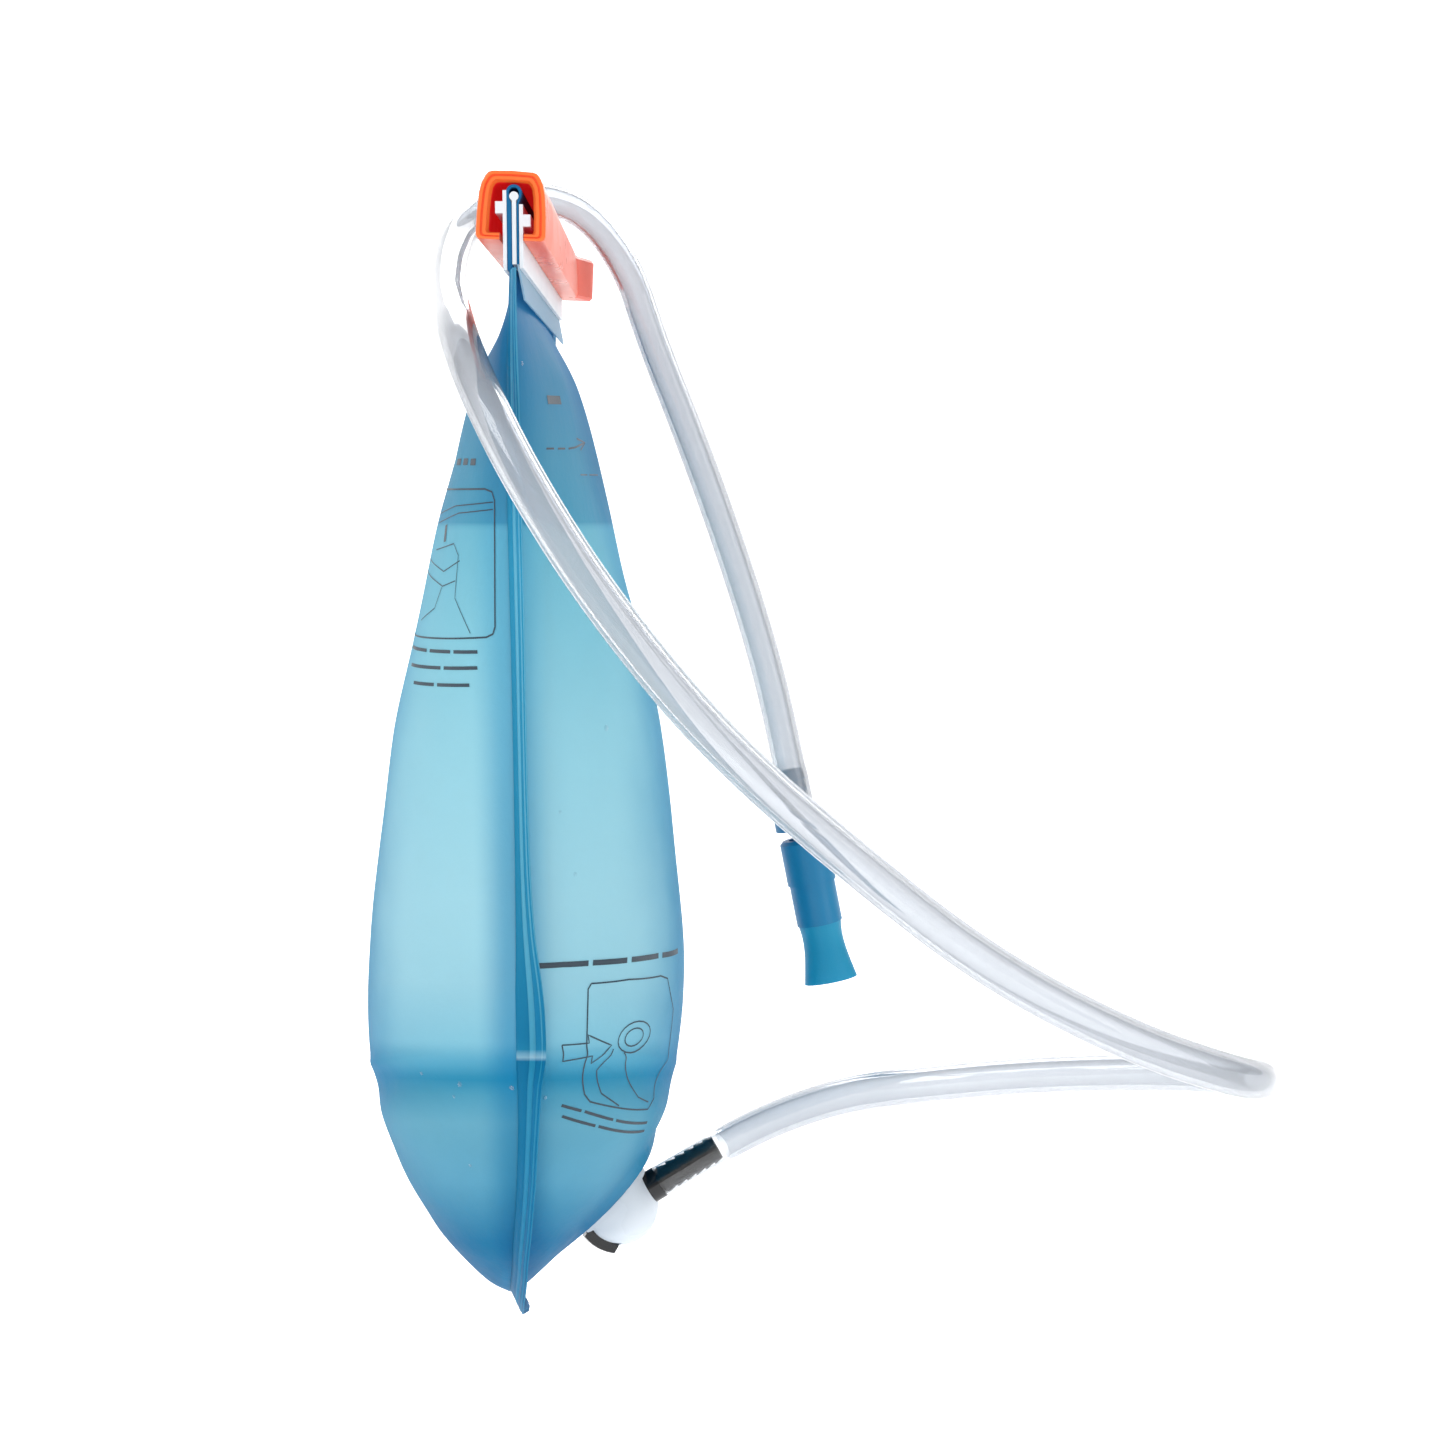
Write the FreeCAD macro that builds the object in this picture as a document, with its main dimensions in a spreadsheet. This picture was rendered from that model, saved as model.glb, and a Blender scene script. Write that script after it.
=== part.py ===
import FreeCAD, Part
import math
import os
import Sketcher

# A hydration bladder, hung by its closure.
# Millimetres. Origin: centre of the closure, half way along it.
# +X: across the pouch, towards the port.  +Y: along the closure, the way the slider comes off.  +Z: up.

SIZES = {
    # closure
    "slider_length": 180.0,
    "slider_top": 5.4,
    "slider_shoulder": 7.2,
    "slider_side": 8.0,
    "slider_foot": 8.4,
    "slider_height": 8.0,
    "slider_shoulder_drop": 2.5,
    "rim_proud": 0.7,
    "rim_width": 3.0,
    "flare_half": 12.6,
    "flare_length": 14.0,
    "flare_lip": 1.2,
    "flare_height": 13.0,
    "cavity_half": 5.4,
    "cavity_top": 5.6,
    "lip_thickness": 2.0,
    "slot_left": 2.5,
    "slot_right": 2.9,
    "insert_length": 178.0,
    "rod_centre": 0.5,
    "bulb_height": 2.4,
    "bulb_radius": 1.1,
    "stem_half": 0.5,
    "stem_bottom": -13.6,
    "strip_left": -2.2,
    "strip_left_top": 3.8,
    "strip_left_bottom": -15.0,
    "strip_right": 2.6,
    "strip_right_top": 0.5,
    "strip_right_bottom": -14.5,
    "strip_thickness": 0.9,
    "rib_reach": 1.8,
    "rib_sink": 0.3,
    "rib_height": 2.8,
    "left_rib_drop": 2.6,
    "right_rib_drop": 2.4,
    "fold_height": 3.3,
    "fold_inner": 1.2,
    "fold_outer": 1.7,
    "fold_film": 0.45,
    "fold_gap": 0.08,
    "fold_narrow": 0.8,
    "flap_bottom": -22.0,
    "flap_lean": 1.6,
    # pouch
    "pouch_top": -15.0,
    "pouch_bottom": -298.0,
    "pouch_half_thickness": 44.5,
    "pouch_half_width": 88.0,
    "film_thickness": 0.8,
    "weld_width": 7.0,
    "weld_thickness": 0.9,
    # port, measured from the centre of its dome along its own axis
    "dome_x": 22.0,
    "dome_z": -276.0,
    "dome_radius": 11.3,
    "collar_radius": 12.5,
    "collar_top": -2.2,
    "seat": -3.9,
    "gasket_thickness": 0.8,
    "gasket_radius": 11.8,
    "base_radius": 16.0,
    "base_thickness": 2.3,
    "port_hole": 6.4,
    "spigot_radius": 6.1,
    "spigot_bore": 4.0,
    "spigot_end": -13.0,
    "close_fit": 0.05,
    "lock_ring_radius": 11.0,
    "lock_ring_height": 3.0,
    "passage_radius": 2.0,
    "passage_offset": -2.3,
    # plug and shut-off valve, along the plug's axis from the centre of the dome
    "nose_radius": 3.0,
    "nose_bore": 3.3,
    "shank_radius": 4.7,
    "shank_bore": 4.75,
    "shank_start": 5.0,
    "shank_gap": 0.3,
    "plug_lip": 14.0,
    "tail_end": 34.0,
    "core_radius": 3.4,
    "barb_radius": 4.1,
    "barb_margin": 1.0,
    "water_bore": 2.0,
    "seal_place": 2.5,
    "seal_groove": 0.6,
    "seal_squeeze": 0.25,
    "seal_groove_half": 0.5,
    "chamber_radius": 4.0,
    "chamber_depth": 4.0,
    "poppet_radius": 3.2,
    "poppet_seal_wire": 0.35,
    "poppet_gap": 0.3,
    "poppet_disc": 1.4,
    "poppet_land": 0.3,
    "poppet_groove": 0.7,
    "poppet_seal_proud": 0.06,
    "poppet_stem": 1.1,
    "poppet_length": 3.3,
    # button, along its own axis from the centre of the dome
    "button_outer": 13.8,
    "button_bottom": 8.8,
    "button_half": 5.0,
    "button_half_width": 6.4,
    "recess_floor": 6.0,
    "recess_clearance": 0.3,
    "button_hole": 3.5,
    "bridge_start": 10.9,
    "bridge_end": 11.9,
    "prong_inner": 4.85,
    "prong_outer": 5.75,
    "prong_half_height": 1.5,
    "prong_reach": 5.0,
    "prong_slot": 0.3,
    "button_travel": 2.5,
    # hose and bite valve
    "hose_radius": 5.0,
    "hose_bore": 3.5,
    "socket_gap": 0.2,
    "bite_tail": 14.0,
    "bite_collar_radius": 8.0,
    "bite_collar_start": 1.0,
    "bite_collar_end": 4.7,
    "bite_neck_radius": 3.4,
    "barrel_start": 8.0,
    "barrel_step": 22.0,
    "barrel_end": 35.0,
    "barrel_radius": 7.6,
    "barrel_small_radius": 7.1,
    "barrel_chamfer": 1.0,
    "piston_radius": 4.6,
    "piston_bore": 4.65,
    "piston_start": 9.0,
    "piston_groove_start": 15.0,
    "piston_groove_end": 16.0,
    "piston_groove": 0.8,
    "piston_seal_wire": 0.41,
    "piston_end": 18.0,
    "barrel_floor": 24.0,
    "nozzle_radius": 4.0,
    "nozzle_end": 39.0,
    "mouth_waist": 6.2,
    "mouth_waist_place": 40.0,
    "mouth_end": 53.5,
    "mouth_half_width": 8.3,
    "mouth_half_height": 5.6,
    "mouth_wall": 1.6,
    "slit_length": 9.0,
}

# The pouch's cross-sections from its mouth down: share of its depth, of its half thickness and of its
# half width, and where the weld line lies across X.
SECTIONS = [
    (0.000, 0.022, 1.000, -0.4),
    (0.015, 0.034, 1.000, -0.6),
    (0.088, 0.303, 0.977, -1.4),
    (0.194, 0.506, 0.920, -2.0),
    (0.336, 0.719, 0.841, -2.0),
    (0.477, 0.888, 0.784, -2.0),
    (0.618, 0.978, 0.756, -2.0),
    (0.707, 1.000, 0.739, -2.0),
    (0.806, 0.910, 0.700, -2.2),
    (0.870, 0.700, 0.615, -3.0),
    (0.930, 0.430, 0.480, -4.6),
    (0.975, 0.200, 0.300, -6.2),
    (1.000, 0.060, 0.120, -7.4),
]
SECTION_POINTS = 9
ROUNDNESS = 0.62

PORT_TILT = 135.6
PLUG_RISE = 13.0
BUTTON_RISE = 15.0

# The hose from the plug's lip over the closure to the bite valve.
HOSE_ROUTE = [
    (33.97, 0.0, -268.69),
    (53.18, 0.0, -256.97),
    (69.0, -7.6, -246.9),
    (86.5, -19.0, -237.6),
    (106.0, -31.0, -231.5),
    (134.0, -38.0, -227.0),
    (163.0, -46.0, -224.0),
    (183.0, -62.0, -220.5),
    (188.0, -87.0, -215.5),
    (174.0, -109.0, -208.5),
    (146.0, -119.0, -197.0),
    (112.0, -122.0, -178.5),
    (80.0, -121.0, -153.5),
    (48.0, -118.0, -125.5),
    (22.0, -114.0, -94.0),
    (4.0, -109.0, -66.0),
    (-8.0, -98.0, -43.0),
    (-15.0, -73.0, -29.0),
    (-19.5, -38.0, -20.5),
    (-24.0, -2.0, -12.0),
    (-27.0, 32.0, -1.0),
    (-26.0, 57.0, 11.0),
    (-14.0, 74.0, 22.5),
    (8.0, 80.0, 21.5),
    (23.5, 76.0, 3.0),
    (31.5, 71.0, -22.0),
    (43.0, 65.0, -51.0),
    (55.0, 60.0, -84.0),
    (65.5, 56.0, -117.0),
    (72.0, 53.0, -144.0),
    (76.7, 52.0, -168.0),
]
ARC_SHARE = 0.45


def term(constant=0.0, **shares):
    """A length worked out from the driving dimensions: its value, and the same as an expression."""
    value = constant + sum(share * SIZES[name] for name, share in shares.items())
    parts = [f"Sizes.{name} * {share}" for name, share in shares.items()]
    if constant or not parts:
        parts.append(str(constant))
    return value, " + ".join(parts)


def fill_sheet(doc):
    sheet = doc.addObject("Spreadsheet::Sheet", "Sizes")
    for row, (name, value) in enumerate(SIZES.items(), start=1):
        sheet.set(f"A{row}", name)
        sheet.set(f"B{row}", str(value))
        sheet.setAlias(f"B{row}", name)
    doc.recompute()
    return sheet


def bind(thing, **lengths):
    for name, (value, text) in lengths.items():
        setattr(thing, name, value)
        thing.setExpression(name, text)


def new_body(label):
    body = doc.addObject("PartDesign::Body", label)
    body.Label = label
    return body


def new_sketch(body, name, plane_role):
    sketch = body.newObject("Sketcher::SketchObject", name)
    plane = [feature for feature in body.Origin.OriginFeatures if feature.Role == plane_role][0]
    sketch.AttachmentSupport = (plane, [""])
    sketch.MapMode = "FlatFace"
    return sketch


def pin_point(sketch, geometry, vertex, place):
    """Holds one vertex at its distances from the sketch's origin."""
    for kind, (value, text) in zip(("DistanceX", "DistanceY"), place):
        index = sketch.addConstraint(Sketcher.Constraint(kind, -1, 1, geometry, vertex, value))
        sketch.setExpression(f"Constraints[{index}]", text)


def draw_polygon(sketch, corners):
    points = [FreeCAD.Vector(x[0], y[0], 0) for x, y in corners]
    first = sketch.GeometryCount
    for start, end in zip(points, points[1:] + points[:1]):
        sketch.addGeometry(Part.LineSegment(start, end), False)
    count = len(points)
    for step in range(count):
        following = first + (step + 1) % count
        sketch.addConstraint(Sketcher.Constraint("Coincident", first + step, 2, following, 1))
    for step, corner in enumerate(corners):
        pin_point(sketch, first + step, 1, corner)


def draw_circle(sketch, centre, radius):
    middle = FreeCAD.Vector(centre[0][0], centre[1][0], 0)
    index = sketch.addGeometry(Part.Circle(middle, FreeCAD.Vector(0, 0, 1), radius[0]), False)
    pin_point(sketch, index, 3, centre)
    constraint = sketch.addConstraint(Sketcher.Constraint("Radius", index, radius[0]))
    sketch.setExpression(f"Constraints[{constraint}]", radius[1])


def rectangle(left, right, bottom, top):
    return [(left, bottom), (right, bottom), (right, top), (left, top)]


def extrude(body, kind, sketch, length):
    """Pads or pockets a sketch by equal amounts on both sides of its plane."""
    feature = body.newObject(kind, sketch.Name + "_extrude")
    feature.Profile = sketch
    feature.Midplane = True
    feature.Length = length[0]
    feature.setExpression("Length", length[1])
    sketch.Visibility = False
    doc.recompute()
    return feature


def pad_polygon(body, name, corners, length):
    sketch = new_sketch(body, name, "XZ_Plane")
    draw_polygon(sketch, corners)
    return extrude(body, "PartDesign::Pad", sketch, length)


def turned_body(label, outline):
    """A solid of revolution about its own Z: the outline is radius, then height."""
    body = new_body(label)
    sketch = new_sketch(body, label + "_outline", "XZ_Plane")
    draw_polygon(sketch, outline)
    revolution = body.newObject("PartDesign::Revolution", label + "_turned")
    revolution.Profile = sketch
    revolution.ReferenceAxis = (sketch, ["V_Axis"])
    revolution.Angle = 360.0
    doc.recompute()
    return body


def ring(label, major, minor):
    torus = doc.addObject("Part::Torus", label)
    torus.Label = label
    bind(torus, Radius1=major, Radius2=minor)
    return torus


def cylinder(name, radius, height, placement):
    solid = doc.addObject("Part::Cylinder", name)
    bind(solid, Radius=radius, Height=height)
    solid.Placement = placement
    return solid


def box(name, length, width, height, placement):
    solid = doc.addObject("Part::Box", name)
    bind(solid, Length=length, Width=width, Height=height)
    solid.Placement = placement
    return solid


def sphere(name, radius, placement):
    solid = doc.addObject("Part::Sphere", name)
    bind(solid, Radius=radius)
    solid.Placement = placement
    return solid


def joined(name, *pieces):
    fuse = doc.addObject("Part::MultiFuse", name)
    fuse.Shapes = list(pieces)
    fuse.Label = name
    return fuse


def minus(name, base, tool):
    cut = doc.addObject("Part::Cut", name)
    cut.Base = base
    cut.Tool = tool
    cut.Label = name
    return cut


def shared(name, *pieces):
    common = doc.addObject("Part::MultiCommon", name)
    common.Shapes = list(pieces)
    common.Label = name
    return common


# ---------------------------------------------------------------- frames

def port_frame():
    """Z out of the pouch along the port's axis, X up and to the right, origin at the dome's centre."""
    tilt = math.radians(PORT_TILT)
    outward = FreeCAD.Vector(math.sin(tilt), 0, math.cos(tilt))
    along = FreeCAD.Vector(-math.cos(tilt), 0, math.sin(tilt))
    rotation = FreeCAD.Rotation(along, FreeCAD.Vector(0, -1, 0), outward, "ZXY")
    return FreeCAD.Placement(FreeCAD.Vector(SIZES["dome_x"], 0, SIZES["dome_z"]), rotation)


def axis_frame(rise, side):
    """Z along an axis through the dome's centre that leaves the port on one side, rise degrees up."""
    angle = math.radians(rise)
    direction = FreeCAD.Vector(side * math.cos(angle), 0, math.sin(angle))
    across = FreeCAD.Vector(0, 1, 0)
    rotation = FreeCAD.Rotation(across.cross(direction), across, direction, "ZXY")
    return PORT.multiply(FreeCAD.Placement(FreeCAD.Vector(0, 0, 0), rotation))


def bite_frame():
    """Z along the bite valve, away from the hose, origin at the hose's end."""
    end = FreeCAD.Vector(*HOSE_ROUTE[-1])
    direction = (end - FreeCAD.Vector(*HOSE_ROUTE[-2])).normalize()
    across = FreeCAD.Vector(1, 0, 0)
    return FreeCAD.Placement(end, FreeCAD.Rotation(across, direction.cross(across), direction, "ZXY"))


def lifted(frame, height, sideways=0.0):
    return frame.multiply(FreeCAD.Placement(FreeCAD.Vector(sideways, 0, height), FreeCAD.Rotation()))


# ---------------------------------------------------------------- closure

def outline_corners(proud):
    """The slider's outside, proud of its plain section by a share of the rim."""
    top = term(slider_height=1, rim_proud=proud)
    shoulder = term(slider_height=1, slider_shoulder_drop=-1)
    foot = term(slider_height=-1)
    waist = term()
    half = [
        (term(slider_foot=1, rim_proud=proud), foot),
        (term(slider_side=1, rim_proud=proud), waist),
        (term(slider_shoulder=1, rim_proud=proud), shoulder),
        (term(slider_top=1, rim_proud=proud), top),
    ]
    other = [((-x[0], f"-({x[1]})"), y) for x, y in reversed(half)]
    return half + other


def make_slider():
    body = new_body("slider")
    length = term(slider_length=1)
    pad_polygon(body, "slider_outside", outline_corners(1), length)
    waist = new_sketch(body, "slider_waist", "XZ_Plane")
    far = term(slider_foot=2)
    near = term(slider_foot=-2)
    draw_polygon(waist, rectangle(near, far, near, far))
    draw_polygon(waist, outline_corners(0))
    extrude(body, "PartDesign::Pocket", waist, term(slider_length=1, rim_width=-2))
    hollow = new_sketch(body, "slider_hollow", "XZ_Plane")
    floor = term(slider_height=-1, lip_thickness=1)
    below = term(slider_height=-2)
    draw_polygon(hollow, [
        (term(cavity_half=-1), floor),
        (term(slot_left=-1), floor),
        (term(slot_left=-1), below),
        (term(slot_right=1), below),
        (term(slot_right=1), floor),
        (term(cavity_half=1), floor),
        (term(cavity_half=0.87), term(cavity_top=1)),
        (term(cavity_half=-0.87), term(cavity_top=1)),
    ])
    extrude(body, "PartDesign::Pocket", hollow, term(slider_length=2))
    for side, name in ((-1, "slider_flare_left"), (1, "slider_flare_right")):
        add_flare(body, name, side)
    return body


def add_flare(body, name, side):
    """The slider widens at its far end, so that a thumb can push it off."""
    flare = new_sketch(body, name, "XY_Plane")
    flare.setExpression("AttachmentOffset.Base.z", term(flare_height=0.5, slider_height=-1)[1])
    inner = term(slider_side=side, rim_proud=-side)
    outer = term(flare_half=side)
    draw_polygon(flare, [
        (inner, term(slider_length=0.5, flare_length=-1)),
        (inner, term(slider_length=0.5)),
        (outer, term(slider_length=0.5)),
        (outer, term(slider_length=0.5, flare_lip=-1)),
    ])
    extrude(body, "PartDesign::Pad", flare, term(flare_height=1))


def make_bulb_rod():
    body = new_body("bulb_rod")
    length = term(insert_length=1)
    pad_polygon(body, "rod_stem", rectangle(
        term(rod_centre=1, stem_half=-1),
        term(rod_centre=1, stem_half=1),
        term(stem_bottom=1),
        term(bulb_height=1),
    ), length)
    bulb = new_sketch(body, "rod_bulb", "XZ_Plane")
    draw_circle(bulb, (term(rod_centre=1), term(bulb_height=1)), term(bulb_radius=1))
    extrude(body, "PartDesign::Pad", bulb, length)
    return body


def make_left_guide_strip():
    body = new_body("left_guide_strip")
    length = term(insert_length=1)
    pad_polygon(body, "left_strip", rectangle(
        term(strip_left=1),
        term(strip_left=1, strip_thickness=1),
        term(strip_left_bottom=1),
        term(strip_left_top=1),
    ), length)
    pad_polygon(body, "left_rib", rectangle(
        term(strip_left=1, rib_reach=-1),
        term(strip_left=1, rib_sink=1),
        term(strip_left_top=1, left_rib_drop=-1, rib_height=-1),
        term(strip_left_top=1, left_rib_drop=-1),
    ), length)
    return body


def make_right_guide_strip():
    body = new_body("right_guide_strip")
    length = term(insert_length=1)
    pad_polygon(body, "right_strip", rectangle(
        term(strip_right=1, strip_thickness=-1),
        term(strip_right=1),
        term(strip_right_bottom=1),
        term(strip_right_top=1),
    ), length)
    pad_polygon(body, "right_rib", rectangle(
        term(strip_right=1, rib_sink=-1),
        term(strip_right=1, rib_reach=1),
        term(strip_right_top=1, right_rib_drop=-1, rib_height=-1),
        term(strip_right_top=1, right_rib_drop=-1),
    ), length)
    return body


def make_folded_mouth():
    """Both films go up left of the rod, over its bulb and down its right side."""
    body = new_body("folded_mouth")
    length = term(insert_length=1)
    arch = new_sketch(body, "fold_arch", "XZ_Plane")
    centre = (term(rod_centre=1), term(fold_height=1))
    draw_circle(arch, centre, term(fold_outer=1))
    draw_circle(arch, centre, term(fold_inner=1))
    extrude(body, "PartDesign::Pad", arch, length)
    open_side = new_sketch(body, "fold_open_side", "XZ_Plane")
    draw_polygon(open_side, rectangle(
        term(rod_centre=1, fold_outer=-2),
        term(rod_centre=1, fold_outer=2),
        term(fold_height=1, fold_outer=-2),
        term(fold_height=1),
    ))
    extrude(body, "PartDesign::Pocket", open_side, term(insert_length=2))
    narrow = term(fold_narrow=1)
    legs = (("fold_leg_left", -1, term(pouch_top=1)), ("fold_leg_right", 1, term(stem_bottom=1)))
    for name, side, foot in legs:
        inner = term(rod_centre=1, stem_half=side, fold_gap=side)
        outer = term(rod_centre=1, stem_half=side, fold_gap=side, fold_film=side)
        pad_polygon(body, name, [
            (inner, foot),
            (outer, foot),
            (outer, narrow),
            (term(rod_centre=1, fold_outer=side), term(fold_height=1)),
            (term(rod_centre=1, fold_inner=side), term(fold_height=1)),
            (term(rod_centre=1, fold_inner=side), term(bulb_height=1)),
            (inner, narrow),
        ], length)
    return body


def make_mouth_flap():
    body = new_body("mouth_flap")
    inner = term(rod_centre=1, stem_half=1, fold_gap=1)
    outer = term(rod_centre=1, stem_half=1, fold_gap=1, fold_film=1)
    pad_polygon(body, "flap", [
        (inner, term(stem_bottom=1)),
        (outer, term(stem_bottom=1)),
        (term(rod_centre=1, stem_half=1, fold_film=1, flap_lean=1), term(flap_bottom=1)),
        (term(rod_centre=1, stem_half=1, flap_lean=1), term(flap_bottom=1)),
    ], term(insert_length=1))
    return body


# ---------------------------------------------------------------- pouch

def section_sizes(share, thickness_share, width_share, weld_x):
    depth = SIZES["pouch_bottom"] - SIZES["pouch_top"]
    height = SIZES["pouch_top"] + share * depth
    half_thickness = thickness_share * SIZES["pouch_half_thickness"]
    half_width = width_share * SIZES["pouch_half_width"]
    return height, half_thickness, half_width, weld_x


def section_wire(height, half_thickness, half_width, weld_x):
    """One closed cross-section: two bowed films that meet at the weld line on both sides."""
    edges = []
    for side in (1, -1):
        points = []
        for step in range(SECTION_POINTS):
            across = side * math.cos(math.pi * step / (SECTION_POINTS - 1))
            bow = side * half_thickness * max(1 - across * across, 0.0) ** ROUNDNESS
            points.append(FreeCAD.Vector(weld_x + bow, across * half_width, height))
        curve = Part.BSplineCurve()
        curve.interpolate(points)
        edges.append(curve.toShape())
    return Part.Wire(edges)


def pouch_loft(inset):
    """The inflated form, smaller by the film's thickness for its inside."""
    wires = []
    for section in SECTIONS:
        height, half_thickness, half_width, weld_x = section_sizes(*section)
        if inset and half_thickness < 3 * inset:
            continue
        wires.append(section_wire(height, half_thickness - inset, half_width - 1.5 * inset, weld_x))
    return Part.makeLoft(wires, True, False)


def weld_line():
    sizes = [section_sizes(*section) for section in SECTIONS]
    end = SIZES["pouch_bottom"] - SIZES["weld_width"]
    return [(height, weld_x) for height, _, _, weld_x in sizes] + [(end, sizes[-1][3] - 0.6)]


def swept_sideways(outline):
    """A plate of this XZ outline, wider than the pouch."""
    reach = SIZES["pouch_half_width"] + 2 * SIZES["weld_width"]
    points = [FreeCAD.Vector(x, -reach, z) for x, z in outline]
    face = Part.Face(Part.makePolygon(points + points[:1]))
    return face.extrude(FreeCAD.Vector(0, 2 * reach, 0))


def weld_plate():
    """The flat band that the two films are welded in, round the sides and the bottom."""
    half = SIZES["weld_thickness"] / 2
    line = weld_line()
    band = swept_sideways([(x - half, z) for z, x in line] + [(x + half, z) for z, x in reversed(line)])
    sizes = [section_sizes(*section) for section in SECTIONS]
    edge = [FreeCAD.Vector(-60, 0, SIZES["pouch_bottom"] - SIZES["weld_width"])]
    for height, _, half_width, _ in reversed(sizes):
        spread = math.hypot(half_width, 1.0) + SIZES["weld_width"]
        edge.append(FreeCAD.Vector(-60, min(spread, SIZES["pouch_half_width"]), height))
    outline = Part.BSplineCurve()
    outline.interpolate(edge)
    mirrored = outline.toShape().mirror(FreeCAD.Vector(0, 0, 0), FreeCAD.Vector(0, 1, 0))
    top = edge[-1]
    lid = Part.makeLine(top, FreeCAD.Vector(top.x, -top.y, top.z))
    face = Part.Face(Part.Wire(Part.__sortEdges__([outline.toShape(), lid, mirrored])))
    return band.common(face.extrude(FreeCAD.Vector(120, 0, 0)))


def make_panels():
    film = pouch_loft(0.0).fuse(weld_plate()).cut(pouch_loft(SIZES["film_thickness"]))
    line = weld_line()
    line[0] = (line[0][0] + 5, line[0][1])
    line[-1] = (line[-1][0] - 5, line[-1][1])
    port_hole = Part.makeCylinder(SIZES["base_radius"], 2 * SIZES["base_radius"])
    port_hole.Placement = lifted(PORT, -SIZES["base_radius"])
    panels = []
    for label, side in (("left_panel", -1), ("right_panel", 1)):
        far = side * 2 * SIZES["pouch_half_thickness"]
        outline = [(x, z) for z, x in line] + [(far, line[-1][0]), (far, line[0][0])]
        shape = film.common(swept_sideways(outline))
        if side > 0:
            shape = shape.cut(port_hole)
        shape = max(shape.Solids, key=lambda solid: solid.Volume)
        panel = doc.addObject("Part::Feature", label)
        panel.Label = label
        panel.Shape = shape
        panels.append(panel)
    return panels


# ---------------------------------------------------------------- port

def make_port_base():
    top = term(seat=1, gasket_thickness=-1)
    bottom = term(seat=1, gasket_thickness=-1, base_thickness=-1)
    body = turned_body("port_base", rectangle(term(port_hole=1), term(base_radius=1), bottom, top))
    body.Placement = PORT
    return body


def make_port_gasket():
    bottom = term(seat=1, gasket_thickness=-1)
    body = turned_body("port_gasket", rectangle(
        term(port_hole=1), term(gasket_radius=1), bottom, term(seat=1)))
    body.Placement = PORT
    return body


def make_port_lock_ring():
    top = term(seat=1, gasket_thickness=-1, base_thickness=-1)
    bottom = term(seat=1, gasket_thickness=-1, base_thickness=-1, lock_ring_height=-1)
    inner = term(spigot_radius=1, close_fit=1)
    body = turned_body("port_lock_ring", rectangle(inner, term(lock_ring_radius=1), bottom, top))
    body.Placement = PORT
    return body


def make_valve_housing():
    ball = sphere("dome_ball", term(dome_radius=1), PORT)
    below = cylinder("dome_trim", term(dome_radius=2), term(dome_radius=2),
                     lifted(PORT, SIZES["seat"] - 2 * SIZES["dome_radius"]))
    collar = cylinder("dome_collar", term(collar_radius=1), term(collar_top=1, seat=-1),
                      lifted(PORT, SIZES["seat"]))
    spigot = cylinder("housing_spigot", term(spigot_radius=1), term(seat=1, spigot_end=-1),
                      lifted(PORT, SIZES["spigot_end"]))
    outside = joined("housing_outside", minus("dome", ball, below), collar, spigot)

    inlet_top = SIZES["seat"] - 2 * SIZES["gasket_thickness"]
    inlet = cylinder("housing_inlet", term(spigot_bore=1),
                     term(seat=1, gasket_thickness=-2, spigot_end=-1), lifted(PORT, SIZES["spigot_end"]))
    passage = cylinder("housing_passage", term(passage_radius=1), term(seat=-1, gasket_thickness=2),
                       lifted(PORT, inlet_top, SIZES["passage_offset"]))
    chamber = cylinder("poppet_chamber", term(chamber_radius=1), term(chamber_depth=1),
                       lifted(PLUG, -SIZES["chamber_depth"]))
    nose = cylinder("nose_bore_cut", term(nose_bore=1), term(shank_start=1), PLUG)
    shank = cylinder("shank_bore_cut", term(shank_bore=1), term(dome_radius=2),
                     lifted(PLUG, SIZES["shank_start"]))
    recess = button_block("button_recess", SIZES["recess_clearance"], "recess_floor")
    slots = [prong_box(f"prong_slot_{side}", side, SIZES["prong_slot"], SIZES["button_travel"])
             for side in (1, -1)]
    hollow = joined("housing_hollow", inlet, passage, chamber, nose, shank, recess, *slots)
    return minus("valve_housing", outside, hollow)


def button_block(name, margin, bottom):
    """The button's footprint from one height outwards, or with a margin the recess that it moves in."""
    half_height = SIZES["button_half"] + margin
    half_width = SIZES["button_half_width"] + margin
    corner = FreeCAD.Placement(FreeCAD.Vector(-half_height, -half_width, SIZES[bottom]), FreeCAD.Rotation())
    return box(name, term(2 * margin, button_half=2), term(2 * margin, button_half_width=2),
               term(button_outer=1), BUTTON.multiply(corner))


def prong_box(name, side, margin, forward):
    """One prong of the fork beside the plug, or with a margin the slot that it runs in."""
    inner = SIZES["prong_inner"] - margin
    outer = SIZES["prong_outer"] + margin
    low = inner if side > 0 else -outer
    half = SIZES["prong_half_height"] + margin
    reach = SIZES["prong_reach"] + forward + margin
    corner = FreeCAD.Placement(FreeCAD.Vector(-half, low, -reach), FreeCAD.Rotation())
    top = "button_bottom" if margin else "bridge_end"
    return box(name, term(2 * margin, prong_half_height=2),
               term(2 * margin, prong_outer=1, prong_inner=-1),
               term(forward + margin, **{"prong_reach": 1, top: 1}), BUTTON.multiply(corner))


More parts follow.
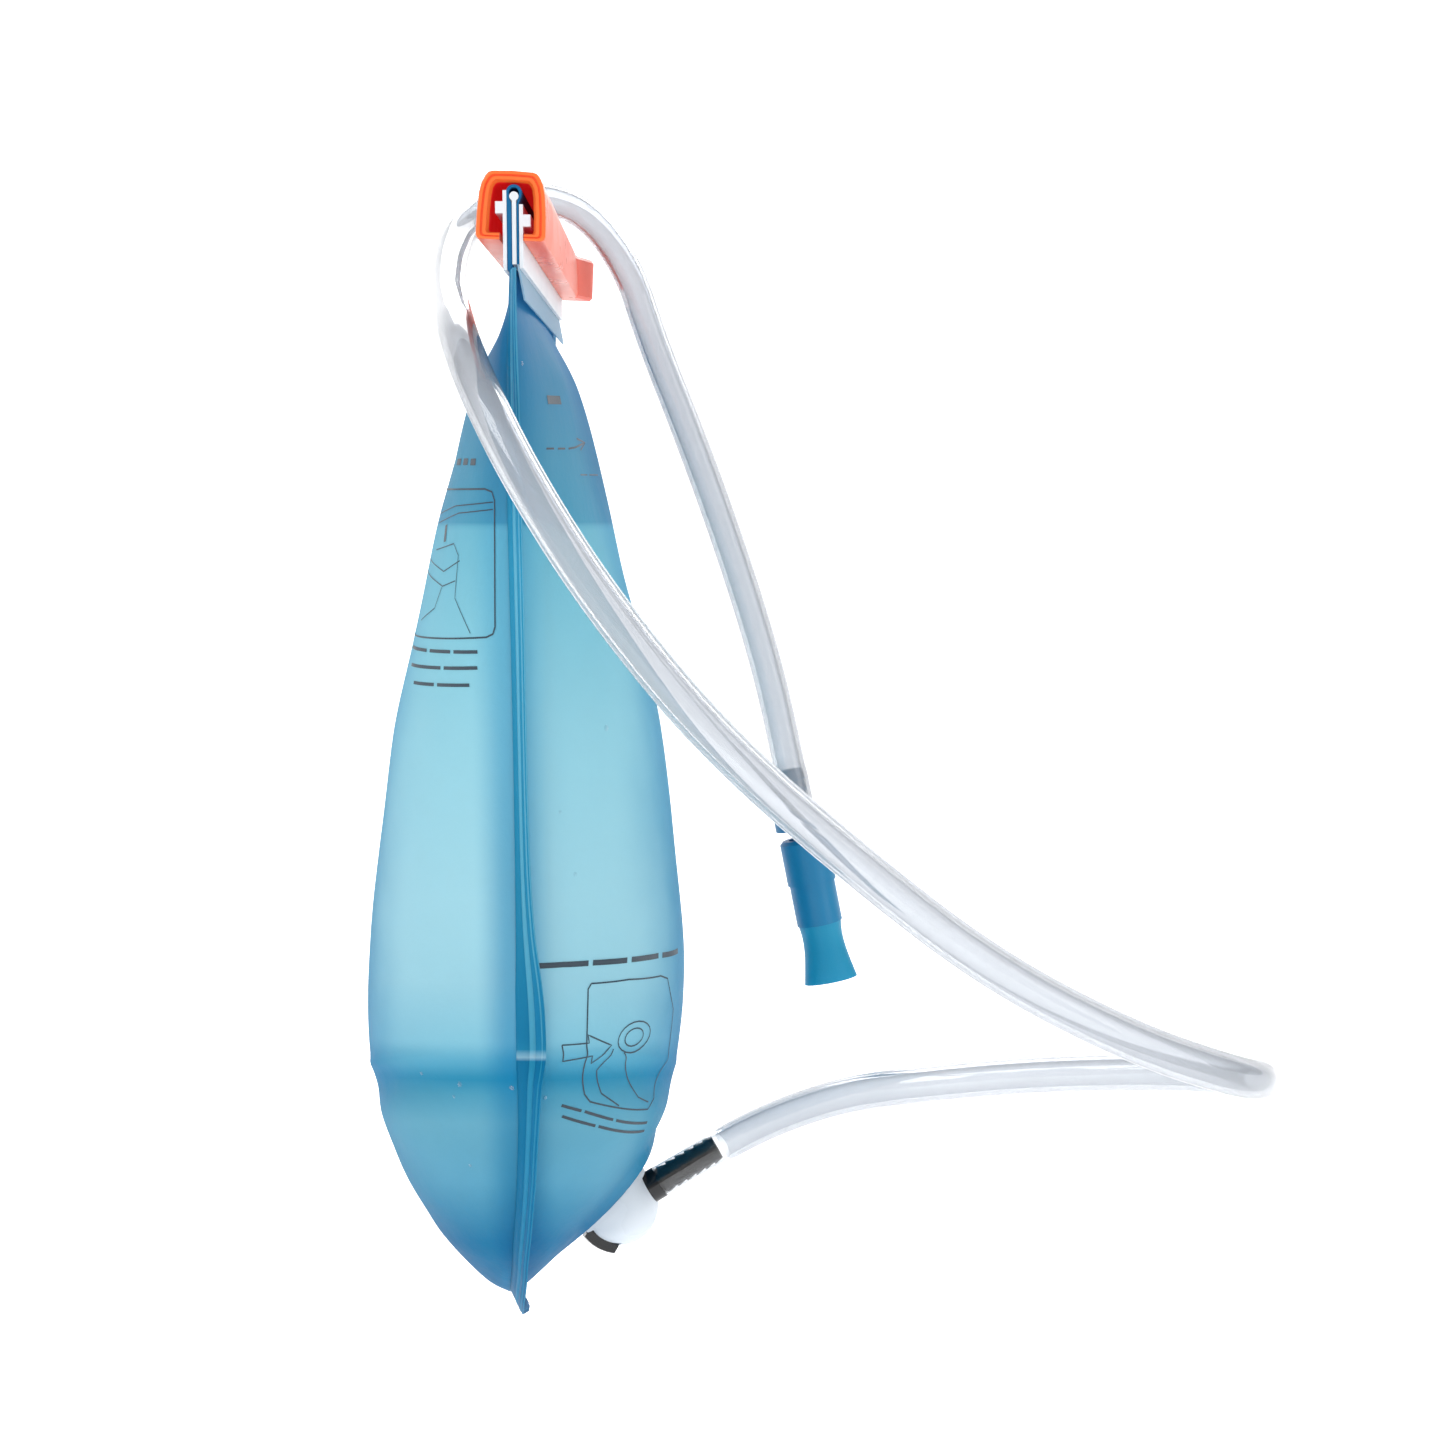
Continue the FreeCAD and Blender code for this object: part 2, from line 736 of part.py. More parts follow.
def make_latch_fork(label):
    """Two prongs, one each side of the plug, joined by a bridge that is held inside the button."""
    prongs = [prong_box(f"{label}_prong_{side}", side, 0.0, 0.0) for side in (1, -1)]
    corner = FreeCAD.Vector(-SIZES["prong_half_height"], -SIZES["prong_outer"], SIZES["bridge_start"])
    bridge = box(label + "_bridge", term(prong_half_height=2), term(prong_outer=2),
                 term(bridge_end=1, bridge_start=-1),
                 BUTTON.multiply(FreeCAD.Placement(corner, FreeCAD.Rotation())))
    return joined(label, bridge, *prongs)


def make_release_button():
    ball = sphere("button_ball", term(button_outer=1), BUTTON)
    block = button_block("button_block", 0.0, "button_bottom")
    hole = cylinder("button_hole", term(button_hole=1), term(bridge_start=1, button_bottom=-1),
                    lifted(BUTTON, SIZES["button_bottom"]))
    hollow = joined("button_hollow", hole, make_latch_fork("fork_channel"))
    return minus("release_button", shared("button_cap", ball, block), hollow)


def make_spring(label, frame, start, height, radius, wire, turns):
    body = new_body(label)
    sketch = new_sketch(body, label + "_wire", "XZ_Plane")
    draw_circle(sketch, (term(radius), term(wire)), term(wire))
    helix = body.newObject("PartDesign::AdditiveHelix", label + "_coil")
    helix.Profile = sketch
    helix.ReferenceAxis = (sketch, ["V_Axis"])
    helix.Mode = "height-turns-angle"
    helix.Height = height - 2 * wire
    helix.Turns = turns
    body.Placement = lifted(frame, start)
    doc.recompute()
    return body


def make_poppet():
    front = term(poppet_gap=-1)
    groove_top = term(poppet_gap=-1, poppet_land=-1)
    groove_bottom = term(poppet_gap=-1, poppet_disc=-1, poppet_land=1)
    back = term(poppet_gap=-1, poppet_disc=-1)
    groove = term(poppet_radius=1, poppet_groove=-1)
    body = turned_body("poppet", [
        (term(), term(poppet_length=-1)),
        (term(poppet_stem=1), term(poppet_length=-1)),
        (term(poppet_stem=1), back),
        (term(poppet_radius=1), back),
        (term(poppet_radius=1), groove_bottom),
        (groove, groove_bottom),
        (groove, groove_top),
        (term(poppet_radius=1), groove_top),
        (term(poppet_radius=1), front),
        (term(), front),
    ])
    body.Placement = PLUG
    return body


def make_poppet_seal():
    seal = ring("poppet_seal", term(poppet_radius=1, poppet_seal_wire=-1, poppet_seal_proud=1),
                term(poppet_seal_wire=1))
    seal.Placement = lifted(PLUG, -SIZES["poppet_gap"] - SIZES["poppet_disc"] / 2)
    return seal


def barbs(start, end, core, barb, count, towards_end):
    """The outline of a row of barbs, from its start to its end."""
    outline = []
    pitch = (end - start) / count
    for step in range(count):
        low = start + step * pitch
        high = low + pitch
        if towards_end:
            outline += [(term(**{barb: 1}), term(low)), (term(**{core: 1}), term(high))]
        else:
            outline += [(term(**{core: 1}), term(low)), (term(**{barb: 1}), term(high))]
    return outline


def make_hose_plug():
    lip = SIZES["plug_lip"]
    tail_core = term(core_radius=1)
    rows = barbs(lip + SIZES["barb_margin"], SIZES["tail_end"], "core_radius", "barb_radius", 6, True)
    outline = [
        (term(water_bore=1), term(0.0)),
        (term(nose_radius=1), term(0.0)),
        (term(nose_radius=1), term(seal_place=1, seal_groove_half=-1)),
        (term(nose_radius=1, seal_groove=-1), term(seal_place=1, seal_groove_half=-1)),
        (term(nose_radius=1, seal_groove=-1), term(seal_place=1, seal_groove_half=1)),
        (term(nose_radius=1), term(seal_place=1, seal_groove_half=1)),
        (term(nose_radius=1), term(shank_start=1, shank_gap=1)),
        (term(shank_radius=1), term(shank_start=1, shank_gap=1)),
        (term(shank_radius=1), term(plug_lip=1)),
        (tail_core, term(plug_lip=1)),
    ] + rows + [(term(water_bore=1), term(tail_end=1))]
    body = turned_body("hose_plug", outline)
    body.Placement = PLUG
    return body


def make_plug_o_ring():
    seal = ring("plug_o_ring", term(nose_radius=1, seal_groove=-0.5, seal_squeeze=0.5),
                term(seal_groove=0.5, seal_squeeze=0.5))
    seal.Placement = lifted(PLUG, SIZES["seal_place"])
    return seal


# ---------------------------------------------------------------- hose

def hose_path():
    """Straight runs joined by tangent arcs, each as large as its two runs allow."""
    points = [FreeCAD.Vector(*place) for place in HOSE_ROUTE]
    edges = []
    radii = []
    here = points[0]
    for before, corner, after in zip(points, points[1:], points[2:]):
        come = corner - before
        leave = after - corner
        shorter = min(come.Length, leave.Length)
        turn = come.getAngle(leave)
        setback = ARC_SHARE * shorter
        radii.append(setback / math.tan(turn / 2))
        come.normalize()
        leave.normalize()
        start = corner - come * setback
        end = corner + leave * setback
        inward = (leave - come).normalize()
        half_chord = (end - start).Length / 2
        rise = radii[-1] * (1 - math.cos(turn / 2))
        middle = (start + end) / 2 - inward * rise
        if half_chord <= 0:
            raise ValueError("a corner of the hose has no room for its arc")
        edges.append(Part.LineSegment(here, start).toShape())
        edges.append(Part.Arc(start, middle, end).toShape())
        here = end
    edges.append(Part.LineSegment(here, points[-1]).toShape())
    return Part.Wire(edges), radii


def make_hose():
    path, radii = hose_path()
    start = FreeCAD.Vector(*HOSE_ROUTE[0])
    along = (FreeCAD.Vector(*HOSE_ROUTE[1]) - start).normalize()
    solids = []
    for radius in (SIZES["hose_radius"], SIZES["hose_bore"]):
        profile = Part.Wire(Part.makeCircle(radius, start, along))
        solids.append(path.makePipeShell([profile], True, False))
    tube = solids[0].cut(solids[1])
    section = math.pi * (SIZES["hose_radius"] ** 2 - SIZES["hose_bore"] ** 2)
    print("hose length %.1f, volume share %.4f" % (path.Length, tube.Volume / (section * path.Length)))
    print("hose radii", " ".join("%.0f" % radius for radius in radii))
    socket_length = SIZES["tail_end"] - SIZES["plug_lip"] + SIZES["socket_gap"]
    socket = Part.makeCylinder(SIZES["barb_radius"] + SIZES["close_fit"], socket_length, start, along)
    hose = doc.addObject("Part::Feature", "hose")
    hose.Label = "hose"
    hose.Shape = tube.cut(socket)
    return hose


# ---------------------------------------------------------------- bite valve

def make_bite_spigot():
    rows = barbs(-SIZES["bite_tail"], 0.0, "core_radius", "barb_radius", 4, False)
    outline = [(term(water_bore=1), term(bite_tail=-1))] + rows + [
        (term(bite_neck_radius=1), term(0.0)),
        (term(bite_neck_radius=1), term(bite_collar_start=1)),
        (term(bite_collar_radius=1), term(bite_collar_start=1)),
        (term(bite_collar_radius=1), term(bite_collar_end=1)),
        (term(bite_neck_radius=1), term(bite_collar_end=1)),
        (term(bite_neck_radius=1), term(piston_start=1)),
        (term(piston_radius=1), term(piston_start=1)),
        (term(piston_radius=1), term(piston_groove_start=1)),
        (term(piston_radius=1, piston_groove=-1), term(piston_groove_start=1)),
        (term(piston_radius=1, piston_groove=-1), term(piston_groove_end=1)),
        (term(piston_radius=1), term(piston_groove_end=1)),
        (term(piston_radius=1), term(piston_end=1)),
        (term(water_bore=1), term(piston_end=1)),
    ]
    body = turned_body("bite_spigot", outline)
    body.Placement = BITE
    return body


def make_spigot_o_ring():
    seal = ring("spigot_o_ring", term(piston_radius=1, piston_groove=-1, piston_seal_wire=1),
                term(piston_seal_wire=1))
    seal.Placement = lifted(BITE, (SIZES["piston_groove_start"] + SIZES["piston_groove_end"]) / 2)
    return seal


def make_bite_sleeve():
    body = turned_body("bite_sleeve", [
        (term(piston_bore=1), term(barrel_start=1)),
        (term(barrel_radius=1, barrel_chamfer=-1), term(barrel_start=1)),
        (term(barrel_radius=1), term(barrel_start=1, barrel_chamfer=1)),
        (term(barrel_radius=1), term(barrel_step=1)),
        (term(barrel_small_radius=1), term(barrel_step=1)),
        (term(barrel_small_radius=1), term(barrel_end=1)),
        (term(nozzle_radius=1), term(barrel_end=1)),
        (term(nozzle_radius=1), term(nozzle_end=1)),
        (term(water_bore=1), term(nozzle_end=1)),
        (term(water_bore=1), term(barrel_floor=1)),
        (term(piston_bore=1), term(barrel_floor=1)),
    ])
    body.Placement = BITE
    return body


def oval(half_width, half_height, height):
    """An ellipse across the valve's axis, its long side across the view of the pouch."""
    centre = FreeCAD.Vector(0, 0, height)
    if half_width - half_height < 0.01:
        return Part.Wire(Part.makeCircle(half_width, centre))
    return Part.Wire(Part.Ellipse(centre, half_width, half_height).toShape())


def make_bite_mouthpiece():
    """A soft cap that narrows behind its flat oval lips, hollow, with a slit through its end."""
    base = SIZES["barrel_end"]
    waist = SIZES["mouth_waist_place"]
    end = SIZES["mouth_end"]
    wall = SIZES["mouth_wall"]
    between = waist + 0.5 * (end - waist)
    forms = []
    for inset, first, last in ((0.0, base, end), (wall, SIZES["nozzle_end"], end - wall)):
        forms.append(Part.makeLoft([
            oval(SIZES["mouth_waist"] + 0.6 - inset, SIZES["mouth_waist"] + 0.5 - inset, first),
            oval(SIZES["mouth_waist"] + 0.1 - inset, SIZES["mouth_waist"] - inset, waist + (wall if inset else 0)),
            oval(7.0 - inset, 6.0 - inset, between),
            oval(SIZES["mouth_half_width"] - inset, SIZES["mouth_half_height"] - inset, last),
        ], True, False))
    socket = Part.makeCylinder(SIZES["nozzle_radius"], SIZES["nozzle_end"] - base + 0.1,
                               FreeCAD.Vector(0, 0, base - 0.1))
    slit = Part.makeBox(SIZES["slit_length"], 0.4, 3 * wall,
                        FreeCAD.Vector(-SIZES["slit_length"] / 2, -0.2, end - 2 * wall))
    shape = forms[0].cut(forms[1]).cut(socket).cut(slit)
    mouthpiece = doc.addObject("Part::Feature", "bite_mouthpiece")
    mouthpiece.Label = "bite_mouthpiece"
    mouthpiece.Shape = shape
    mouthpiece.Placement = BITE
    return mouthpiece


# ---------------------------------------------------------------- assembly

doc = FreeCAD.newDocument("hydration_bladder")
fill_sheet(doc)
PORT = port_frame()
PLUG = axis_frame(PLUG_RISE, 1)
BUTTON = axis_frame(BUTTON_RISE, -1)
BITE = bite_frame()

nodes = [
    make_slider(),
    make_bulb_rod(),
    make_left_guide_strip(),
    make_right_guide_strip(),
    make_folded_mouth(),
    make_mouth_flap(),
    *make_panels(),
    make_port_base(),
    make_port_gasket(),
    make_port_lock_ring(),
    make_valve_housing(),
    make_latch_fork("latch_fork"),
    make_release_button(),
    make_spring("button_spring", BUTTON, SIZES["recess_floor"] + 0.05, 4.8, 2.8, 0.35, 3.5),
    make_poppet(),
    make_poppet_seal(),
    make_spring("poppet_spring", PLUG, -SIZES["chamber_depth"], 2.2, 1.9, 0.25, 2.5),
    make_hose_plug(),
    make_plug_o_ring(),
    make_hose(),
    make_bite_spigot(),
    make_spigot_o_ring(),
    make_bite_sleeve(),
    make_bite_mouthpiece(),
]
doc.recompute()

for thing in doc.Objects:
    if "Invalid" in thing.State or "Error" in thing.State:
        raise RuntimeError(f"{thing.Name} failed: {thing.State}")
for node in nodes:
    if node.Shape.isNull() or not node.Shape.isValid() or node.Shape.Volume <= 0:
        raise RuntimeError(f"{node.Label} has no valid shape")

os.makedirs("parts", exist_ok=True)
for node in nodes:
    node.Shape.exportStep(f"parts/{node.Label}.step")
    print("%-20s solids %d volume %.1f" % (node.Label, len(node.Shape.Solids), node.Shape.Volume))
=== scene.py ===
import math

import bpy
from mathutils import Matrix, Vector, noise


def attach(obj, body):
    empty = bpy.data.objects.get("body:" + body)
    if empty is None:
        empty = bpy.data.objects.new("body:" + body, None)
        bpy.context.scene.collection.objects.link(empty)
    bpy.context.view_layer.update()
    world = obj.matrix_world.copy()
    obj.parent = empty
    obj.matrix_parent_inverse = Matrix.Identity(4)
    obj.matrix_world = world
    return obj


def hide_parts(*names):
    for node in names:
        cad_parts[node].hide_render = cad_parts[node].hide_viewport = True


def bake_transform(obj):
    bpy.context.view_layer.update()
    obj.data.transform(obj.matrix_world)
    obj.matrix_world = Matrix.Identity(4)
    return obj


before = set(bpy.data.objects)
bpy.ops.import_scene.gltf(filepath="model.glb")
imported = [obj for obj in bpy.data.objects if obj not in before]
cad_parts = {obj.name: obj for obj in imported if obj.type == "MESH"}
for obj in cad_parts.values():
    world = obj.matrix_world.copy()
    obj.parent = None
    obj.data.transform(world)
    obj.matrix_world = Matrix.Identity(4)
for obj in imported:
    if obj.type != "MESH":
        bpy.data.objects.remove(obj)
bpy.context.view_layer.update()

# A hydration bladder, hung by its closure, with its hose looped over it.
# Everything is in the CAD's frame. Shapes are in millimetres, and the hose, the film's shading, the
# stage and the camera are in metres.

MM = 0.001

# The pouch from its mouth down: height, how far its left and right films stand from the weld line,
# its half width, and where the weld line lies across X.
POUCH_ROWS = [
    (-15.0, 0.9, 0.9, 88.0, -0.4),
    (-19.2, 1.4, 1.4, 88.0, -0.6),
    (-39.9, 13.8, 12.7, 86.0, -1.4),
    (-69.9, 23.1, 21.0, 81.0, -2.0),
    (-92.0, 28.6, 26.0, 77.5, -2.0),
    (-110.1, 33.3, 31.0, 74.0, -2.0),
    (-130.0, 38.0, 35.4, 71.2, -2.0),
    (-150.0, 41.2, 38.0, 69.0, -2.0),
    (-189.9, 45.8, 42.4, 66.5, -2.0),
    (-215.1, 47.7, 42.9, 65.0, -2.0),
    (-232.5, 46.8, 41.0, 62.5, -2.2),
    (-243.1, 44.2, 39.0, 61.6, -2.6),
    (-252.0, 40.6, 35.4, 58.2, -3.2),
    (-261.2, 36.2, 30.8, 54.1, -4.0),
    (-270.0, 30.4, 24.6, 48.6, -5.0),
    (-278.2, 24.6, 18.6, 42.2, -5.8),
    (-290.9, 12.2, 8.0, 26.4, -7.6),
    (-298.0, 4.6, 2.4, 10.6, -8.6),
]
# The power that rounds each film's bow between the welds.
ROUNDNESS = 0.62

# How far the side weld leans towards the port, in degrees, by height.
WELD_LEAN = [(-15, 12), (-60, 28), (-150, 30), (-180, 42), (-211, 84), (-222, 56), (-245, 42), (-298, 26)]

# The hose from the plug's lip over the closure to the bite valve.
HOSE_ROUTE = [
    (0.0340, 0.000, -0.2687),
    (0.0532, 0.000, -0.2570),
    (0.0690, -0.0076, -0.2469),
    (0.0865, -0.0190, -0.2376),
    (0.1060, -0.031, -0.2315),
    (0.1340, -0.038, -0.2270),
    (0.1630, -0.046, -0.2240),
    (0.1830, -0.062, -0.2205),
    (0.1880, -0.087, -0.2155),
    (0.1740, -0.109, -0.2085),
    (0.1460, -0.119, -0.1970),
    (0.1120, -0.122, -0.1785),
    (0.0800, -0.121, -0.1535),
    (0.0480, -0.118, -0.1255),
    (0.0220, -0.114, -0.0940),
    (0.0040, -0.109, -0.0660),
    (-0.0080, -0.098, -0.0430),
    (-0.0150, -0.073, -0.0290),
    (-0.0195, -0.038, -0.0205),
    (-0.0240, -0.002, -0.0120),
    (-0.0270, 0.032, -0.0010),
    (-0.0260, 0.057, 0.0110),
    (-0.0140, 0.074, 0.0225),
    (0.0080, 0.080, 0.0215),
    (0.0235, 0.076, 0.0030),
    (0.0315, 0.071, -0.0220),
    (0.0430, 0.065, -0.0510),
    (0.0550, 0.060, -0.0840),
    (0.0655, 0.056, -0.1170),
    (0.0720, 0.053, -0.1440),
    (0.0767, 0.052, -0.1680),
]
HOSE_DIAMETER = 0.010
HOSE_BORE = 0.007

# The port's centre on the right film and the way it faces.
PORT_CENTRE = Vector((22.0, 0.0, -276.0)) * MM
PORT_OUT = Vector((0.69966, 0.0, -0.71447))


# ---------------------------------------------------------------- materials

def new_material(name):
    material = bpy.data.materials.new(name)
    material.use_nodes = True
    material.node_tree.nodes.clear()
    return material


def add_node(material, kind, inputs=None, **settings):
    """A shader node whose inputs are set to values or joined to other nodes' outputs."""
    node = material.node_tree.nodes.new("ShaderNode" + kind)
    for name, value in settings.items():
        setattr(node, name, value)
    for name, value in (inputs or {}).items():
        if isinstance(value, bpy.types.NodeSocket):
            material.node_tree.links.new(value, node.inputs[name])
        else:
            node.inputs[name].default_value = value
    return node


def set_output(material, shader):
    """The finished material, with this shader on its surface."""
    add_node(material, "OutputMaterial", {"Surface": shader})
    return material


def colour(red, green, blue):
    """A colour as a screen shows it, 0 to 255, turned to the renderer's linear values."""
    linear = [(part / 255 / 12.92) if part < 10.3 else ((part / 255 + 0.055) / 1.055) ** 2.4
              for part in (red, green, blue)]
    return (*linear, 1.0)


def mix_colours(material, share, first, second):
    """The first colour where share is 0, and the second where it is 1."""
    node = add_node(material, "Mix", {"Factor": share, 6: first, 7: second}, data_type="RGBA")
    return node.outputs[2]


def bump(material, height, distance, strength=1.0):
    """A normal that makes a height pattern look this many metres deep."""
    node = add_node(material, "Bump", {"Height": height, "Distance": distance, "Strength": strength})
    return node.outputs["Normal"]


def moulded_plastic(name, base, worn, roughness, grain=0.00004, translucent=0.0, painted_glow=0.0):
    """Injection-moulded plastic: faint flow marks, a fine grain and a little colour change. Its glow share
    makes it glow in its own colour, which is painted light.
    """
    material = new_material(name)
    place = add_node(material, "TexCoord").outputs["Object"]
    flow = add_node(material, "TexNoise", {"Vector": place, "Scale": 60.0, "Detail": 3.0})
    fine = add_node(material, "TexNoise", {"Vector": place, "Scale": 1400.0, "Detail": 2.0})
    tone = mix_colours(material, flow.outputs["Fac"], base, worn)
    gloss = add_node(material, "MapRange", {
        "Value": flow.outputs["Fac"], "From Min": 0.3, "From Max": 0.7,
        "To Min": roughness * 0.85, "To Max": roughness * 1.2}).outputs["Result"]
    normal = bump(material, fine.outputs["Fac"], grain)
    # The emission is painted light: the part glows though it is no lamp.
    shader = add_node(material, "BsdfPrincipled", {
        "Base Color": tone, "Roughness": gloss, "Normal": normal, "IOR": 1.48,
        "Emission Color": base, "Emission Strength": painted_glow}).outputs["BSDF"]
    if translucent:
        glow = add_node(material, "BsdfTranslucent", {"Color": tone, "Normal": normal}).outputs["BSDF"]
        shader = add_node(material, "MixShader", {0: translucent, 1: shader, 2: glow}).outputs["Shader"]
    return set_output(material, shader)


# The film's colour from the mouth down: height, colour between the weld and the side, colour at the side.
# The colour at the side is painted shade where the film turns away at its silhouette, and the dark band
# round -236.6 is painted shade in the crease; the film is also darker near the mouth and towards the bottom.
FILM_TONES_WITH_PAINTED_SHADE = [
    (-15.0, (70, 152, 190), (50, 142, 188)),
    (-24.0, (66, 150, 186), (48, 144, 190)),
    (-60.0, (96, 168, 192), (62, 140, 176)),
    (-77.4, (94, 170, 194), (74, 152, 186)),
    (-78.2, (134, 200, 214), (104, 182, 208)),
    (-110.0, (158, 212, 222), (102, 178, 204)),
    (-133.0, (172, 218, 226), (98, 174, 202)),
    (-185.0, (186, 224, 230), (78, 158, 190)),
    (-208.0, (184, 223, 229), (72, 156, 190)),
    (-226.0, (158, 212, 224), (60, 150, 188)),
    # From here to -236.6: painted shade in the crease.
    (-231.0, (110, 184, 206), (20, 136, 180)),
    (-236.6, (48, 150, 182), (10, 134, 178)),
    (-241.5, (96, 172, 194), (36, 140, 180)),
    (-250.0, (126, 188, 204), (60, 148, 182)),
    (-268.0, (112, 180, 202), (32, 134, 172)),
    (-286.0, (20, 132, 172), (0, 108, 156)),
    (-300.0, (40, 138, 176), (0, 112, 160)),
]
# By height, the colours of the weld's darker and paler bands, the folded mouth and the flap. On the weld,
# the pale stop at -229.6 is a painted highlight along the crease, and the dark stop just under it painted
# shade.
WELD_TONES_WITH_PAINTED_LIGHT = [
    (-15.0, (36, 136, 180)),
    (-60.0, (34, 142, 182)),
    (-90.0, (48, 158, 194)),
    (-185.0, (36, 146, 184)),
    (-224.0, (22, 134, 178)),
    (-228.6, (30, 142, 182)),
    # Painted highlight along the crease, with painted shade just under it.
    (-229.6, (180, 224, 236)),
    (-231.0, (4, 124, 170)),
    (-250.0, (18, 132, 176)),
    (-300.0, (4, 118, 164)),
]
WELD_PALE_TONES_WITH_PAINTED_LIGHT = [
    (-15.0, (96, 176, 204)),
    (-60.0, (86, 176, 204)),
    (-90.0, (116, 196, 218)),
    (-185.0, (104, 188, 212)),
    (-228.6, (80, 176, 206)),
    # Painted highlight along the crease, with painted shade just under it.
    (-229.6, (206, 236, 244)),
    (-231.0, (40, 156, 194)),
    (-250.0, (60, 164, 200)),
    (-300.0, (30, 146, 188)),
]
FOLD_TONES = [(-15.0, (20, 126, 176)), (1.0, (36, 118, 172)), (3.0, (64, 78, 138)), (6.0, (70, 80, 140))]
FLAP_TONES = [(-30.0, (168, 204, 222)), (-10.0, (186, 216, 232))]
TONES_TOP = -0.010
TONES_BOTTOM = -0.305
# Towards the welds a tone's line climbs, the more the further it lies below this height.
TONES_LEVEL = -0.0645
TONES_CLIMB = 1.62
# The side colour, painted shade at the silhouette, is full this near to the line half way between the welds,
# and gone this far from it.
SILHOUETTE_SHADE_FULL = 0.020
SILHOUETTE_SHADE_GONE = 0.064
# It comes back beside the weld line, where it is this strong.
SEAM_X = -0.003
SEAM_FULL = 0.001
SEAM_GONE = 0.011
SEAM_STRENGTH = 0.75


def tone_ramp(material, share, tones):
    """A colour ramp down the pouch through these heights in millimetres."""
    ramp = add_node(material, "ValToRGB", {"Fac": share})
    stops = ramp.color_ramp.elements
    stops.remove(stops[1])
    for index, (height, tone) in enumerate(reversed(tones)):
        position = (height * MM - TONES_BOTTOM) / (TONES_TOP - TONES_BOTTOM)
        stop = stops[0] if index == 0 else stops.new(position)
        stop.position = position
        stop.color = colour(*tone)
    return ramp.outputs["Color"]


def film(name, tones, translucent=0.55, clear=0.08):
    """Frosted film: painted by height, with painted shade deepening it at the silhouette, and deeper close
    to the weld.
    """
    material = new_material(name)
    place = add_node(material, "TexCoord").outputs["Object"]
    parts = add_node(material, "SeparateXYZ", {0: place})
    depth = add_node(material, "Math", {0: parts.outputs["Y"]}, operation="ABSOLUTE").outputs[0]
    fall = add_node(material, "Math", {0: parts.outputs["Z"], 1: -TONES_LEVEL}, operation="ADD").outputs[0]
    swing = add_node(material, "Math", {0: fall, 1: depth}, operation="MULTIPLY").outputs[0]
    climbed = add_node(material, "Math", {0: swing, 1: TONES_CLIMB, 2: parts.outputs["Z"]},
                       operation="MULTIPLY_ADD").outputs[0]
    heights = add_node(material, "MapRange", {
        "Value": climbed, "From Min": TONES_BOTTOM, "From Max": TONES_TOP}).outputs["Result"]
    middle = tone_ramp(material, heights, [(row[0], row[1]) for row in tones])
    side = tone_ramp(material, heights, [(row[0], row[-1]) for row in tones])
    clouds = add_node(material, "TexNoise", {"Vector": place, "Scale": 18.0, "Detail": 3.0})
    wander = add_node(material, "Math", {0: clouds.outputs["Fac"], 1: 0.030, 2: depth},
                      operation="MULTIPLY_ADD").outputs[0]
    # Painted shade: the side colour comes in where the film bows furthest out, at its silhouette.
    rim_shade = add_node(material, "MapRange", {
        "Value": wander, "From Min": SILHOUETTE_SHADE_FULL, "From Max": SILHOUETTE_SHADE_GONE, "To Min": 1.0, "To Max": 0.0},
        interpolation_type="SMOOTHSTEP").outputs["Result"]
    across = add_node(material, "Math", {0: parts.outputs["X"], 1: -SEAM_X}, operation="ADD").outputs[0]
    across = add_node(material, "Math", {0: across}, operation="ABSOLUTE").outputs[0]
    seam = add_node(material, "MapRange", {
        "Value": across, "From Min": SEAM_FULL, "From Max": SEAM_GONE,
        "To Min": SEAM_STRENGTH, "To Max": 0.0},
        interpolation_type="SMOOTHSTEP").outputs["Result"]
    deepest = add_node(material, "Math", {0: rim_shade, 1: seam}, operation="MAXIMUM").outputs[0]
    tone = mix_colours(material, deepest, middle, side)
    frost = add_node(material, "TexNoise", {"Vector": place, "Scale": 900.0, "Detail": 3.0})
    dents = add_node(material, "TexNoise", {"Vector": place, "Scale": 34.0, "Detail": 4.0})
    normal = bump(material, frost.outputs["Fac"], 0.00006)
    soft = add_node(material, "Bump", {
        "Height": dents.outputs["Fac"], "Distance": 0.0022, "Strength": 0.55, "Normal": normal})
    normal = soft.outputs["Normal"]
    skin = add_node(material, "BsdfPrincipled", {
        "Base Color": tone, "Roughness": 0.42, "Normal": normal, "IOR": 1.4,
        "Specular IOR Level": 0.18})
    glow = add_node(material, "BsdfTranslucent", {"Color": tone, "Normal": normal})
    through = add_node(material, "BsdfTransparent", {"Color": tone})
    body = add_node(material, "MixShader", {
        0: translucent, 1: skin.outputs["BSDF"], 2: glow.outputs["BSDF"]})
    whole = add_node(material, "MixShader", {
        0: clear, 1: body.outputs["Shader"], 2: through.outputs["BSDF"]})
    return set_output(material, whole.outputs["Shader"])


